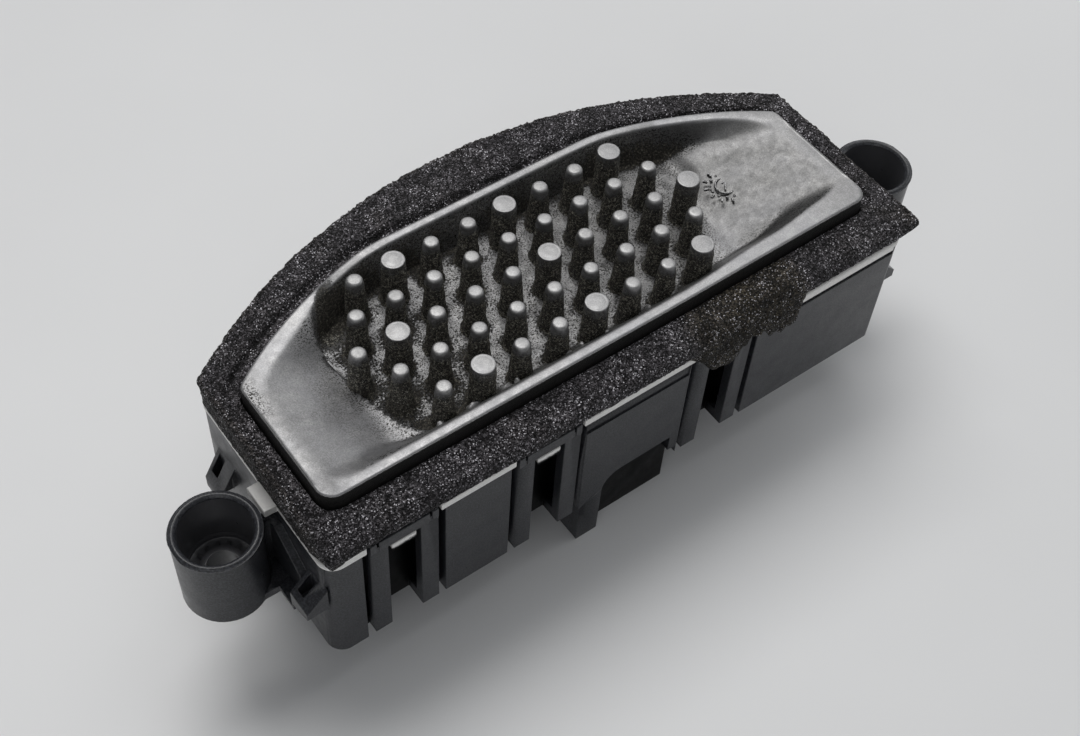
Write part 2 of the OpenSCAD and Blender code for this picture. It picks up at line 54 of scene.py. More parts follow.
def vnoise(p, size, seed=0):
    """Smooth value noise from -1 to 1; a feature is about `size` across."""
    q = p / size
    i = np.floor(q).astype(np.int64)
    f = q - i
    f = f * f * (3 - 2 * f)
    out = np.zeros(len(p))
    for dx in (0, 1):
        for dy in (0, 1):
            for dz in (0, 1):
                w = (
                    (f[:, 0] if dx else 1 - f[:, 0])
                    * (f[:, 1] if dy else 1 - f[:, 1])
                    * (f[:, 2] if dz else 1 - f[:, 2])
                )
                out += w * hash3(i[:, 0] + dx, i[:, 1] + dy, i[:, 2] + dz, seed)
    return out * 2 - 1


def fbm(p, size, seed=0, octaves=3):
    out, amp, total = np.zeros(len(p)), 1.0, 0.0
    for k in range(octaves):
        out += amp * vnoise(p, size / 2**k, seed + 11 * k)
        total += amp
        amp *= 0.55
    return out / total


def cells(p, size, seed=0):
    """Distance to the nearest point of a jittered lattice, 0 to about 1, and that cell's random value."""
    q = p / size
    i = np.floor(q).astype(np.int64)
    best = np.full(len(p), 9.0)
    pick = np.zeros(len(p))
    for dx in (-1, 0, 1):
        for dy in (-1, 0, 1):
            for dz in (-1, 0, 1):
                c = i + np.array([dx, dy, dz])
                j = np.stack(
                    [hash3(c[:, 0], c[:, 1], c[:, 2], seed + s) for s in (0, 1, 2)], 1
                )
                d = np.linalg.norm(c + j - q, axis=1)
                v = hash3(c[:, 0], c[:, 1], c[:, 2], seed + 3)
                closer = d < best
                best = np.where(closer, d, best)
                pick = np.where(closer, v, pick)
    return best, pick


def sstep(a, b, x):
    t = np.clip((x - a) / (b - a), 0, 1)
    return t * t * (3 - 2 * t)


def smin(a, b, k):
    h = np.clip(0.5 + 0.5 * (b - a) / k, 0, 1)
    return b * (1 - h) + a * h - k * h * (1 - h)


# ---- meshes ---------------------------------------------------------------


def grid_faces(rows, cols, wrap=True, start=0, flip=False):
    """Quads of a rows x cols grid of vertices, closed round along the columns."""
    last = cols if wrap else cols - 1
    r, c = np.meshgrid(np.arange(rows - 1), np.arange(last), indexing="ij")
    c2 = (c + 1) % cols
    q = np.stack([r * cols + c, r * cols + c2, (r + 1) * cols + c2, (r + 1) * cols + c], -1)
    q = q.reshape(-1, 4) + start
    return q[:, ::-1] if flip else q


def grid_normals(g):
    """Normals of a grid of points (rows, cols, 3), closed round along the columns."""
    du = np.roll(g, -1, 1) - np.roll(g, 1, 1)
    dv = np.gradient(g, axis=0)
    n = np.cross(du, dv)
    return n / np.maximum(np.linalg.norm(n, axis=2, keepdims=True), 1e-9)


class Builder:
    """Collects shells, in millimetres, into one mesh object."""

    def __init__(self):
        self.v, self.f, self.m, self.a, self.c, self.d, self.n = [], [], [], [], [], [], 0

    def add(self, verts, faces, material=0, first=0.0, second=0.0, third=0.0):
        verts = np.asarray(verts, float).reshape(-1, 3)
        faces = [tuple(int(i) + self.n for i in f) for f in faces]
        self.v.append(verts)
        self.f += faces
        self.m += [material] * len(faces)
        self.a.append(np.broadcast_to(np.asarray(first, float), (len(verts),)).copy())
        self.c.append(np.broadcast_to(np.asarray(second, float), (len(verts),)).copy())
        self.d.append(np.broadcast_to(np.asarray(third, float), (len(verts),)).copy())
        self.n += len(verts)

    def finish(self, name, materials, attributes=(), smooth_angle=40):
        me = bpy.data.meshes.new(name)
        co = np.concatenate(self.v) * MM
        me.from_pydata(co.tolist(), [], self.f)
        for m in materials:
            me.materials.append(m)
        me.polygons.foreach_set("material_index", self.m)
        me.polygons.foreach_set("use_smooth", [True] * len(self.f))
        for kind, values in zip(attributes, (self.a, self.c, self.d)):
            a = me.attributes.new(kind, "FLOAT", "POINT")
            a.data.foreach_set("value", np.concatenate(values).astype(np.float32))
        me.validate()
        me.update()
        if smooth_angle:
            me.set_sharp_from_angle(angle=math.radians(smooth_angle))
        o = bpy.data.objects.new(name, me)
        bpy.context.scene.collection.objects.link(o)
        return o


def lathe(profile, cx, cy, segs):
    """Grid of points round a vertical axis from (radius, height) pairs, top to bottom."""
    a = np.arange(segs) * 2 * math.pi / segs
    g = np.zeros((len(profile), segs, 3))
    for k, (r, z) in enumerate(profile):
        g[k, :, 0] = cx + r * np.cos(a)
        g[k, :, 1] = cy + r * np.sin(a)
        g[k, :, 2] = z
    return g


# ---- materials ------------------------------------------------------------


class Mat:
    """A small helper round a Principled material's node tree."""

    def __init__(self, name):
        self.m = bpy.data.materials.new(name)
        self.m.use_nodes = True
        self.t = self.m.node_tree
        self.b = self.t.nodes["Principled BSDF"]
        self.co = self.t.nodes.new("ShaderNodeTexCoord").outputs["Object"]

    def node(self, kind, **inputs):
        n = self.t.nodes.new(kind)
        for k, v in inputs.items():
            k = k.replace("_", " ")
            if hasattr(v, "is_output"):
                self.t.links.new(v, n.inputs[k])
            else:
                n.inputs[k].default_value = v
        return n

    def noise(self, size_mm, detail=3.0, rough=0.6, stretch=None, seed=0.0):
        co = self.co
        m = self.t.nodes.new("ShaderNodeMapping")
        self.t.links.new(co, m.inputs["Vector"])
        m.inputs["Location"].default_value = (seed, seed * 0.7, seed * 1.3)
        if stretch:
            m.inputs["Scale"].default_value = stretch
        return self.node(
            "ShaderNodeTexNoise", Vector=m.outputs[0], Scale=1000.0 / size_mm,
            Detail=detail, Roughness=rough,
        ).outputs["Fac"]

    def voronoi(self, size_mm, feature="F1", out="Distance", seed=0.0, random=1.0):
        m = self.t.nodes.new("ShaderNodeMapping")
        self.t.links.new(self.co, m.inputs["Vector"])
        m.inputs["Location"].default_value = (seed, seed * 0.7, seed * 1.3)
        n = self.t.nodes.new("ShaderNodeTexVoronoi")
        n.feature = feature
        self.t.links.new(m.outputs[0], n.inputs["Vector"])
        n.inputs["Scale"].default_value = 1000.0 / size_mm
        n.inputs["Randomness"].default_value = random
        return n.outputs[out]

    def ramp(self, fac, *stops):
        """stops are (position, grey or colour)."""
        n = self.t.nodes.new("ShaderNodeValToRGB")
        self.t.links.new(fac, n.inputs["Fac"])
        e = n.color_ramp.elements
        while len(e) < len(stops):
            e.new(0.5)
        for k, (p, c) in enumerate(stops):
            e[k].position = p
            e[k].color = (c, c, c, 1) if isinstance(c, (int, float)) else (*c, 1)
        return n.outputs["Color"]

    def mix(self, fac, a, b, mode="MIX"):
        n = self.t.nodes.new("ShaderNodeMix")
        n.data_type = "RGBA"
        n.blend_type = mode
        for socket, v in ((n.inputs["Factor"], fac), (n.inputs["A"], a), (n.inputs["B"], b)):
            if hasattr(v, "is_output"):
                self.t.links.new(v, socket)
            elif isinstance(v, (int, float)):
                socket.default_value = v if socket.type == "VALUE" else (v, v, v, 1)
            else:
                socket.default_value = (*v, 1)
        return n.outputs["Result"]

    def math(self, op, a, b=None, c=None, clamp=False):
        n = self.t.nodes.new("ShaderNodeMath")
        n.operation = op
        n.use_clamp = clamp
        for k, v in enumerate((a, b, c)):
            if v is None:
                continue
            if hasattr(v, "is_output"):
                self.t.links.new(v, n.inputs[k])
            else:
                n.inputs[k].default_value = v
        return n.outputs[0]

    def attribute(self, name):
        n = self.t.nodes.new("ShaderNodeAttribute")
        n.attribute_name = name
        return n.outputs["Fac"]

    def bump(self, height, distance_mm, strength=1.0, back_fold_shade=None):
        n = self.t.nodes.new("ShaderNodeBump")
        n.inputs["Strength"].default_value = strength
        n.inputs["Distance"].default_value = distance_mm * MM
        self.t.links.new(height, n.inputs["Height"])
        if back_fold_shade is not None:
            self.t.links.new(back_fold_shade, n.inputs["Normal"])
        return n.outputs["Normal"]

    def set(self, **inputs):
        for k, v in inputs.items():
            k = k.replace("_", " ")
            if hasattr(v, "is_output"):
                self.t.links.new(v, self.b.inputs[k])
            elif isinstance(v, tuple) and len(v) == 3:
                self.b.inputs[k].default_value = (*v, 1)
            else:
                self.b.inputs[k].default_value = v
        return self


def cast_metal():
    """Die-cast aluminium: satin, very finely grained. One attribute brings specks of soot and road dust, and painted
    shade in the folds, and below zero a rubbed, brighter skin; another brings an even dark film, which is also painted
    shade on the rim's outer wall and at the pit's back-left edge; the shade attribute darkens the metal as painted
    shade.
    """
    m = Mat("cast_aluminium")
    grime_and_shade, tarnish_and_shade = m.attribute("grime_and_shade"), m.attribute("tarnish_and_shade")
    speck = m.noise(0.34, 4.0, 0.78)
    blot = m.noise(2.2, 3.0, 0.6, seed=3.1)
    # dirt, and painted shade in the folds, settles as specks first, then closes up
    mask = m.math("ADD", m.math("MULTIPLY", speck, 1.5), m.math("MULTIPLY", blot, 0.55))
    mask = m.math("ADD", mask, m.math("MULTIPLY", grime_and_shade, 1.5))
    mask = m.math("SUBTRACT", mask, 1.62)
    mask = m.math("MULTIPLY", mask, 5.0, clamp=True)
    tone = m.noise(7.0, 3.0, 0.6, seed=1.7)
    fine = m.noise(0.20, 2.0, 0.7, seed=2.2)
    metal = m.ramp(tone, (0.3, (0.41, 0.41, 0.425)), (0.7, (0.54, 0.535, 0.53)))
    metal = m.mix(m.ramp(m.noise(1.5, 4.0, 0.7, seed=21.0), (0.38, 0.0), (0.66, 0.55)), metal, (0.30, 0.30, 0.305))
    metal = m.mix(m.ramp(fine, (0.32, 0.0), (0.68, 0.85)), metal, (0.27, 0.27, 0.275))
    rubbed = m.math("MULTIPLY", grime_and_shade, -5.0, clamp=True)
    metal = m.mix(rubbed, metal, m.ramp(fine, (0.30, (0.74, 0.735, 0.73)), (0.75, (0.50, 0.50, 0.505))))
    # black pepper where dirt has begun to settle
    pepper = m.ramp(m.noise(0.25, 2.0, 0.8, seed=17.0), (0.51, 0.0), (0.58, 1.0))
    pepper = m.math("MULTIPLY", pepper, m.math("MULTIPLY", m.math("SUBTRACT", grime_and_shade, 0.05), 6.0, clamp=True))
    metal = m.mix(pepper, metal, (0.030, 0.028, 0.024))
    # painted shade: the shade attribute darkens the metal and adds dark specks
    painted_dimming = m.math("MULTIPLY", m.attribute("shade"), m.ramp(m.noise(2.4, 4.0, 0.7, seed=23.0), (0.35, 0.86), (0.65, 1.0)), clamp=True)
    metal = m.mix(painted_dimming, metal, (0.385, 0.385, 0.375), "MULTIPLY")
    metal = m.mix(m.math("MULTIPLY", m.ramp(m.noise(0.22, 2.0, 0.8, seed=27.0), (0.50, 0.0), (0.60, 0.34)), painted_dimming), metal, (0.07, 0.068, 0.062))
    lit = m.math("MULTIPLY", grime_and_shade, 5.0, clamp=True)
    # the dark film, broken by bright flecks and brown crumbs; it is also laid on as painted shade
    film_and_shade = m.mix(m.ramp(m.noise(0.5, 4.0, 0.8, seed=12.0), (0.38, 0.0), (0.60, 1.0)),
                 (0.004, 0.0038, 0.0040), m.mix(lit, (0.014, 0.013, 0.012), (0.058, 0.053, 0.045)))
    flakes = m.noise(0.34, 3.0, 0.85, seed=9.0)
    film_and_shade = m.mix(m.math("MULTIPLY", m.ramp(flakes, (0.54, 0.0), (0.60, 1.0)), lit), film_and_shade, (0.36, 0.34, 0.28))
    film_and_shade = m.mix(m.math("MULTIPLY", m.ramp(m.noise(0.26, 2.0, 0.8, seed=15.0), (0.60, 0.0), (0.66, 1.0)), lit), film_and_shade, (0.58, 0.57, 0.51))
    edge = m.math("ADD", tarnish_and_shade, m.math("MULTIPLY", m.math("SUBTRACT", speck, 0.5), 0.9))
    edge = m.ramp(edge, (0.30, 0.0), (0.62, 1.0))
    soot = m.ramp(m.noise(0.34, 4.0, 0.8, seed=5.0), (0.34, (0.008, 0.0075, 0.007)),
                  (0.50, (0.030, 0.027, 0.022)), (0.60, (0.12, 0.11, 0.088)),
                  (0.70, (0.40, 0.385, 0.34)))
    colour = m.mix(edge, metal, film_and_shade)
    colour = m.mix(mask, colour, soot)
    rough = m.ramp(m.noise(1.2, 3.0, 0.6, seed=4.0), (0.3, 0.46), (0.7, 0.58))
    rough = m.mix(mask, m.mix(edge, rough, 0.60), 0.80)
    shaded_top = m.math("MAXIMUM", m.math("MULTIPLY", mask, 0.9), m.math("MULTIPLY", edge, 0.75))
    metallic = m.math("SUBTRACT", 1.0, shaded_top)
    n = m.bump(m.noise(0.24, 3.0, 0.7, seed=6.0), 0.02, 0.6)
    n = m.bump(m.math("MULTIPLY", m.math("MAXIMUM", mask, edge), m.noise(0.40, 3.0, 0.8, seed=7.0)),
               0.30, 1.0, back_fold_shade=n)
    return m.set(Base_Color=colour, Roughness=rough, Metallic=metallic, Normal=n).m


def clean_metal(name, colour, rough, size=0.3, depth=0.008, dirt=0.0):
    """Plain metal with a fine finish and faint stains."""
    m = Mat(name)
    dark = tuple(c * 0.72 for c in colour)
    stain = m.noise(2.2, 4.0, 0.65)
    base = m.mix(m.ramp(stain, (0.35, 0.0), (0.8, 1.0)), colour, dark)
    if dirt:
        base = m.mix(m.ramp(m.noise(0.6, 5.0, 0.8, seed=2.0), (0.5, 0.0), (0.75, dirt)),
                     base, (0.05, 0.045, 0.04))
    r = m.ramp(m.noise(1.0, 3.0, 0.6, seed=4.0), (0.3, rough - 0.06), (0.7, rough + 0.08))
    n = m.bump(m.noise(size, 3.0, 0.6, seed=1.0), depth, 0.6)
    return m.set(Base_Color=base, Roughness=r, Metallic=1.0, Normal=n).m


def strip_metal():
    """The flange's trimmed edge: pale, dull aluminium; painted shade makes it near black where the attribute is high
    and darker where the attribute is below zero.
    """
    m = Mat("trimmed_aluminium")
    film_and_shade = m.attribute("film_and_shade")
    fine = m.noise(0.35, 3.0, 0.7)
    base = m.mix(m.ramp(fine, (0.35, 0.0), (0.70, 0.5)), (0.95, 0.94, 0.92), (0.72, 0.71, 0.69))
    edge = m.math("ADD", film_and_shade, m.math("MULTIPLY", m.math("SUBTRACT", m.noise(0.8, 4.0, 0.8, seed=3.0), 0.5), 0.7))
    blackened = m.ramp(edge, (0.35, 0.0), (0.60, 1.0))
    # painted shade: near black where the attribute is high, under the flange and up the lugs
    base = m.mix(blackened, base, (0.008, 0.008, 0.009))
    # painted shade: darker on the tabs and the bared top, where the attribute is below zero
    base = m.mix(m.math("MULTIPLY", film_and_shade, -1.0, clamp=True), base, (0.20, 0.20, 0.195))
    n = m.bump(m.noise(0.5, 3.0, 0.6, seed=1.0), 0.02, 0.5)
    metallic = m.math("MULTIPLY", m.math("SUBTRACT", 1.0, blackened), 0.30)
    m.set(Base_Color=base, Roughness=0.58, Metallic=metallic, Normal=n)
    m.t.links.new(m.math("SUBTRACT", 0.5, m.math("MULTIPLY", blackened, 0.42)), m.b.inputs["Specular IOR Level"])
    return m.m


def plastic(name, colour, rough, grain=0.28, depth=0.012, dust=0.25, deep=False):
    """Moulded plastic: fine eroded grain, faint flow marks, rubbed spots and a little dust; where asked, painted shade
    in recesses and painted light in the screw bores.
    """
    m = Mat(name)
    light = tuple(min(1.0, c * 1.7 + 0.006) for c in colour)
    flow = m.noise(14.0, 3.0, 0.5, stretch=(0.3, 1.0, 1.0))
    base = m.mix(m.ramp(flow, (0.35, 0.0), (0.75, 0.55)), colour, light)
    mottle = m.noise(0.30, 2.0, 0.8, seed=11.0)
    base = m.mix(m.ramp(mottle, (0.42, 0.0), (0.64, 0.90)), base, tuple(c * 2.5 for c in light))
    specks = m.ramp(m.noise(0.5, 5.0, 0.85, seed=3.0), (0.60, 0.0), (0.74, dust))
    base = m.mix(specks, base, (0.22, 0.21, 0.20))
    if deep:
        # painted shade: near black in recesses; painted light: paler in the screw bores
        base = m.mix(m.math("MULTIPLY", m.attribute("deep"), 1.0, clamp=True), base, (0.0012, 0.0012, 0.0014))
        base = m.mix(m.math("MULTIPLY", m.attribute("deep"), -1.0, clamp=True), base, (0.085, 0.085, 0.092))
    rubbed = m.noise(3.5, 4.0, 0.7, seed=5.0)
    r = m.ramp(rubbed, (0.3, rough - 0.07), (0.7, rough + 0.09))
    n = m.bump(m.noise(grain, 2.0, 0.6, seed=1.5), depth, 0.6)
    n = m.bump(m.noise(6.0, 2.0, 0.5, seed=8.0), 0.05, 0.25, back_fold_shade=n)
    m.set(Base_Color=base, Roughness=r, Normal=n)
    if deep:
        # painted shade and painted light in the reflections: weaker in recesses, stronger in the screw bores
        gloss = m.math("SUBTRACT", 0.5, m.math("MULTIPLY", m.attribute("deep"), 0.45), clamp=True)
        m.t.links.new(gloss, m.b.inputs["Specular IOR Level"])
    return m.m


def foam_material():
    """Open-cell polyurethane foam: black pores between lighter struts, and painted glints on a few near-white cells.
    """
    m = Mat("gasket_foam")
    def split(colour):
        n = m.t.nodes.new("ShaderNodeSeparateColor")
        m.t.links.new(colour, n.inputs[0])
        return n.outputs
    one = split(m.voronoi(0.23, "F1", "Color", seed=2.0))
    two = split(m.voronoi(0.155, "F1", "Color", seed=6.0))
    edge = m.voronoi(0.40, "DISTANCE_TO_EDGE", "Distance", seed=4.0)
    patch = m.noise(3.2, 3.0, 0.65, seed=3.0)
    warm, pale = m.attribute("warm"), m.attribute("pale")
    strut = m.ramp(one[0], (0.48, 0.0), (0.70, 0.15), (0.88, 0.58), (1.0, 1.0))
    strut = m.math("ADD", strut, m.ramp(two[1], (0.60, 0.0), (0.85, 0.30), (1.0, 0.85)))
    swell = m.math("ADD", m.ramp(patch, (0.32, 0.25), (0.66, 1.0)), m.math("MULTIPLY", pale, 0.40))
    strut = m.math("MULTIPLY", strut, swell)
    light = m.mix(warm, (0.205, 0.192, 0.208), (0.142, 0.120, 0.086))
    dark = m.mix(warm, (0.0030, 0.0027, 0.0031), (0.0040, 0.0034, 0.0024))
    body = m.mix(strut, dark, light)
    # painted glints: a few cells coloured near white stand in for sparkling highlights
    painted_glint = m.math("MULTIPLY", m.ramp(two[0], (0.935, 0.0), (0.955, 1.0)), m.ramp(patch, (0.40, 0.20), (0.60, 1.0)))
    body = m.mix(painted_glint, body, (0.80, 0.78, 0.83))
    h = m.math("ADD", m.math("MULTIPLY", m.ramp(edge, (0.0, 1.0), (0.35, 0.0)), 0.7), m.math("MULTIPLY", one[2], 0.6))
    n = m.bump(h, 0.22, 1.0)
    rough = m.ramp(two[2], (0.2, 0.85), (0.95, 0.45))
    m.set(Base_Color=body, Roughness=rough, Normal=n)
    m.b.inputs["Specular IOR Level"].default_value = 0.20
    m.b.inputs["Sheen Weight"].default_value = 0.03
    m.b.inputs["Sheen Roughness"].default_value = 0.5
    return m.m


MAT_CAST = cast_metal()
MAT_STRIP = strip_metal()
MAT_PLASTIC = plastic("black_plastic", (0.0086, 0.0092, 0.0112), 0.34, depth=0.018, deep=True)
MAT_FOAM = foam_material()

# ---- rim outline ----------------------------------------------------------

RIM_HALF, RIM_FRONT, RIM_BACK = 47.95, -20.0, 14.5
SIDE_C, SIDE_R = np.array([8.13, -51.4]), 67.0
RIM_TOP = 41.4


def rim_ring(d, n_front=220, n_corner=18, n_side=44, n_back_corner=14, n_back=240):
    """Outline of the rim moved in by d, counter-clockwise from the left of the front edge."""
    x1, y0 = RIM_HALF - d, RIM_FRONT + d
    rf, rb = max(2.6 - d, 0.25), max(2.0 - d, 0.25)
    right = []
    for a in np.linspace(-90, 0, n_corner + 2)[1:-1]:
        a = math.radians(a)
        right.append((x1 - rf + rf * math.cos(a), y0 + rf + rf * math.sin(a)))
    big = SIDE_R - d
    yc = SIDE_C[1] + math.sqrt((big - rb) ** 2 - (x1 - rb - SIDE_C[0]) ** 2)
    for y in np.linspace(y0 + rf, yc, n_side):
        right.append((x1, y))
    c = np.array([x1 - rb, yc])
    u = (c - SIDE_C) / np.linalg.norm(c - SIDE_C)
    end = math.atan2(u[1], u[0])
    for a in np.linspace(0, end, n_back_corner + 2)[1:-1]:
        right.append((c[0] + rb * math.cos(a), c[1] + rb * math.sin(a)))
    xt = SIDE_C[0] + big * u[0]
    right = np.array(right)
    xs = np.linspace(xt, -xt, n_back)
    arc = SIDE_C[1] + np.sqrt(big**2 - (np.abs(xs) - SIDE_C[0]) ** 2)
    back = np.stack([xs, smin(np.full(n_back, RIM_BACK - d), arc, 0.5)], 1)
    left = right[::-1] * np.array([-1.0, 1.0])
    fx = np.linspace(-(x1 - rf), x1 - rf, n_front)
    front = np.stack([fx, np.full(n_front, y0)], 1)
    ring = np.concatenate([front, right, back, left])
    return ring + stretch(ring[:, 0], ring[:, 1])


def stretch(x, y):
    """The rim's ends reach a little further out, and its right front corner stands back."""
    return np.stack([0.55 * sstep(28, 46, x) - 0.55 * sstep(-28, -46, x), 0.35 * sstep(0, 46, x) * sstep(0, -18, y)], -1)


def ring_normals(ring):
    t = np.roll(ring, -1, 0) - np.roll(ring, 1, 0)
    t /= np.maximum(np.linalg.norm(t, axis=1, keepdims=True), 1e-9)
    n = np.stack([t[:, 1], -t[:, 0]], 1)
    for _ in range(3):
        n = (np.roll(n, 1, 0) + 2 * n + np.roll(n, -1, 0)) / 4
        n /= np.linalg.norm(n, axis=1, keepdims=True)
    return n


# ---- tray -----------------------------------------------------------------

PIT_Z = 35.2
PIT = np.array([
    (-27.5, 13.4), (-31.4, 11.0), (-33.9, 7.1), (-34.7, 2.3), (-33.9, -3.3),
    (-32.5, -9.0), (-31.7, -12.0), (-29.6, -14.6), (-26.0, -18.0), (20.5, -18.0),
    (23.1, -15.2), (25.7, -10.5), (29.0, -4.1), (31.9, 3.0), (31.5, 8.0), (29.0, 13.4)])


def poly_distance(p, poly):
    """Distance of points to a closed polygon, positive inside."""
    a, b = poly, np.roll(poly, -1, 0)
    best = np.full(len(p), 1e9)
    inside = np.zeros(len(p), bool)
    for s, e in zip(a, b):
        d = e - s
        t = np.clip(((p - s) @ d) / (d @ d), 0, 1)
        best = np.minimum(best, np.linalg.norm(p - s - t[:, None] * d, axis=1))
        cross = (s[1] > p[:, 1]) != (e[1] > p[:, 1])
        with np.errstate(divide="ignore", invalid="ignore"):
            x = (e[0] - s[0]) * (p[:, 1] - s[1]) / (e[1] - s[1]) + s[0]
        inside ^= cross & (p[:, 0] < x)
    return np.where(inside, best, -best)


def rounded(poly, turns=3):
    """Corner cutting, so the polygon becomes a smooth curve."""
    for _ in range(turns):
        nxt = np.roll(poly, -1, 0)
        poly = np.stack([0.75 * poly + 0.25 * nxt, 0.25 * poly + 0.75 * nxt], 1).reshape(-1, 2)
    return poly


PIT_CURVE = rounded(PIT)
OUTLINE = rim_ring(0.0)
OUT_N = ring_normals(OUTLINE)


def nearest_outline(p):
    """Distance from the rim outline, and the outline's outward normal there."""
    d = np.zeros(len(p))
    n = np.zeros((len(p), 2))
    for k in range(0, len(p), 4000):
        q = p[k : k + 4000]
        dist = np.linalg.norm(q[:, None, :] - OUTLINE[None], axis=2)
        # average the normal over the nearer points, so corners stay soft
        w = np.exp(-((dist - dist.min(1, keepdims=True)) / 0.8))
        nn = w @ OUT_N
        n[k : k + 4000] = nn / np.maximum(np.linalg.norm(nn, axis=1, keepdims=True), 1e-9)
        d[k : k + 4000] = dist.min(1)
    return d, n


PITCH, PX, PY = 6.5, -3.6, -3.1
ROWS = [8, 9, 10, 9, 8]
POSTS = [[1, 4, 7], [], [1, 5, 9], [], [1, 4, 7]]
PINS = [
    (PX + (k - (n - 1) / 2) * PITCH, PY + (2 - r) * PITCH * math.sqrt(3) / 2, k in POSTS[r])
    for r, n in enumerate(ROWS)
    for k in range(n)
]


def soft(d, s):
    """Rounded ramp: 0 well below zero, d well above."""
    return 0.5 * (d + np.sqrt(d * d + s * s))


def wall_distances(x, y):
    """How far a point lies in from the rim's left, right, front and back."""
    moved = stretch(x, y)
    x, y = x - moved[..., 0], y - moved[..., 1]
    arc = SIDE_R - np.hypot(np.abs(x) - SIDE_C[0], y - SIDE_C[1])
    return RIM_HALF + x, RIM_HALF - x, y - RIM_FRONT, smin(RIM_BACK - y, arc, 0.8)


def tray_height(p):
    """Height, dirt with painted shade, dark film with painted shade, and painted shade of the dished tray at points
    (x, y).
    """
    x, y = p[:, 0], p[:, 1]
    left, right, front, back = wall_distances(x, y)
    far = sstep(30, 40, np.abs(x))
    far_right = sstep(30, 46, x)
    land_f = 1.7 + 0.9 * sstep(12, 30, x) + 1.3 * far_right
    # end ramps, straight down from the rim to the pit's edge
    ramp_l = soft(0.435 * (left - 2.2 - 0.7 * sstep(-6, 3, y)), 0.55)
    ramp_r = soft(0.378 * (right - 2.4), 0.55)
    ramp = smin(ramp_l, np.full(len(x), 5.1), 0.6)
    ramp = np.where(x > 0, smin(ramp_r, np.full(len(x), 6.2), 0.5), ramp)
    inside = poly_distance(p, PIT_CURVE)
    edge = np.where(x < 0, 0.25, 1.8)
    pit = sstep(-1, 1, inside / edge)
    floor = ramp + (RIM_TOP - PIT_Z - ramp) * pit
    # front and back walls
    wall_f = (front - land_f) * (1.6 - 0.75 * far)
    horn = sstep(-28, -33, x) * sstep(0.5, -0.5, inside)
    bk = back - 1.7 - 0.8 * sstep(-30, -40, x)
    wall_b = bk * (2.6 - 0.2 * far - 1.1 * sstep(34, 44, x))
    wall_b = wall_b * (1 - horn) + bk * 0.85 * horn + 10.0 * soft(bk - 1.2, 0.5) * (1 - np.where(x < 0, sstep(30, 34.5, -x) * sstep(0.5, -0.5, inside), far))
    corner = np.exp(-((left / 9.0) ** 2 + (front / 7.0) ** 2)) + 0.6 * np.exp(-((right / 10.0) ** 2 + (front / 7.0) ** 2))
    corner += 0.25 * np.exp(-((np.minimum(left, right) / 9.0) ** 2 + (back / 6.0) ** 2))
    k = 0.7 + 3.0 * corner
    depth = smin(smin(floor, wall_f, k), wall_b, 0.7 + 2.0 * corner + 1.6 * sstep(18, 28, x) + 0.8 * horn)
    z = RIM_TOP - soft(depth - 0.1, 0.45)
    in_pit = sstep(-0.6, 0.8, inside)
    p3 = np.concatenate([p, np.zeros((len(p), 1))], 1)
    on_back = sstep(1.0, 3.0, floor - wall_b + 1.0) * sstep(0.25, 0.9, depth) * (1 - far) * (1 - horn)
    on_front = sstep(0.5, 2.5, floor - wall_f) * sstep(0.25, 0.9, depth)
    # painted shade in the folds under the rim; dirt at the pin feet and on the pit's left and front
    near = np.full(len(p), 9.0)
    for cx, cy, post in PINS:
        near = np.minimum(near, np.hypot(x - cx, y - cy) - (2.05 if post else 1.9))
    ring = np.exp(-np.maximum(near, 0) / 0.55) * in_pit
    low = fbm(p3, 3.0, 5)
    foot_f = np.exp(-(((front - 6.0) / 1.1) ** 2)) * in_pit
    foot_b = np.exp(-(((back - 3.4) / 0.9) ** 2)) * (1 - far)
    dirty = 0.40 * sstep(0, -36, x) + 0.08 * sstep(6, -12, y)
    worn = sstep(0.05, 0.45, fbm(p3, 2.4, 77)) * sstep(0.5, 1.6, near)
    grime_and_shade = in_pit * (0.23 + 0.20 * ring + dirty * 0.45 + 0.08 * foot_f + 0.18 * low - 0.14 * worn) + 0.30 * foot_b
    hem = np.exp(-np.maximum(-inside, 0) / 1.7) * (1 - in_pit)
    grime_and_shade += hem * np.where(x < 0, 0.16 + 0.16 * sstep(2, -4, y), 0.14)
    grime_and_shade += (1 - in_pit) * 0.07 * (1 + low) * (1 - 0.75 * sstep(24, 30, x))
    # dirt and painted shade in the folds along the front of the two ramps: crisp towards the rim, fading inwards
    t = front - land_f
    crisp = sstep(-0.25, 0.2, t) * np.exp(-np.maximum(t, 0) / 1.0) * (1 - in_pit)
    grime_and_shade += crisp * (0.36 * sstep(27, 33, x) * sstep(46.6, 45.2, x) + 0.26 * sstep(-44, -38, x) * sstep(-28, -33, x))
    # the same dirt and painted shade, blurred, along the right ramp's front
    blur = np.exp(-(((front - 5.6) / 2.2) ** 2)) * sstep(46, 36, x) * sstep(20, 30, x)
    grime_and_shade += blur * (1 - in_pit) * (0.17 + 0.05 * low)
    # painted shade in the fold under the back rim
    back_fold_shade = np.exp(-(((back - 3.0) / 0.7) ** 2)) * sstep(14, 20, x) * sstep(38, 31, x)
    grime_and_shade += back_fold_shade * 0.34
    tip = np.exp(-(((x + 47.7) / 1.0) ** 2 + ((y - 0.2) / 3.4) ** 2))
    grime_and_shade += tip * 0.34
    grime_and_shade = np.where(depth < 0.15, np.minimum(grime_and_shade, 0.05) + tip * 0.3, grime_and_shade)
    grime_and_shade += 0.10 * on_back * sstep(33, 24, x)
    tarnish_and_shade = 0.38 * on_back * sstep(33, 24, x) + 0.25 * on_front * sstep(-30, -20, x) * sstep(30, 10, x)
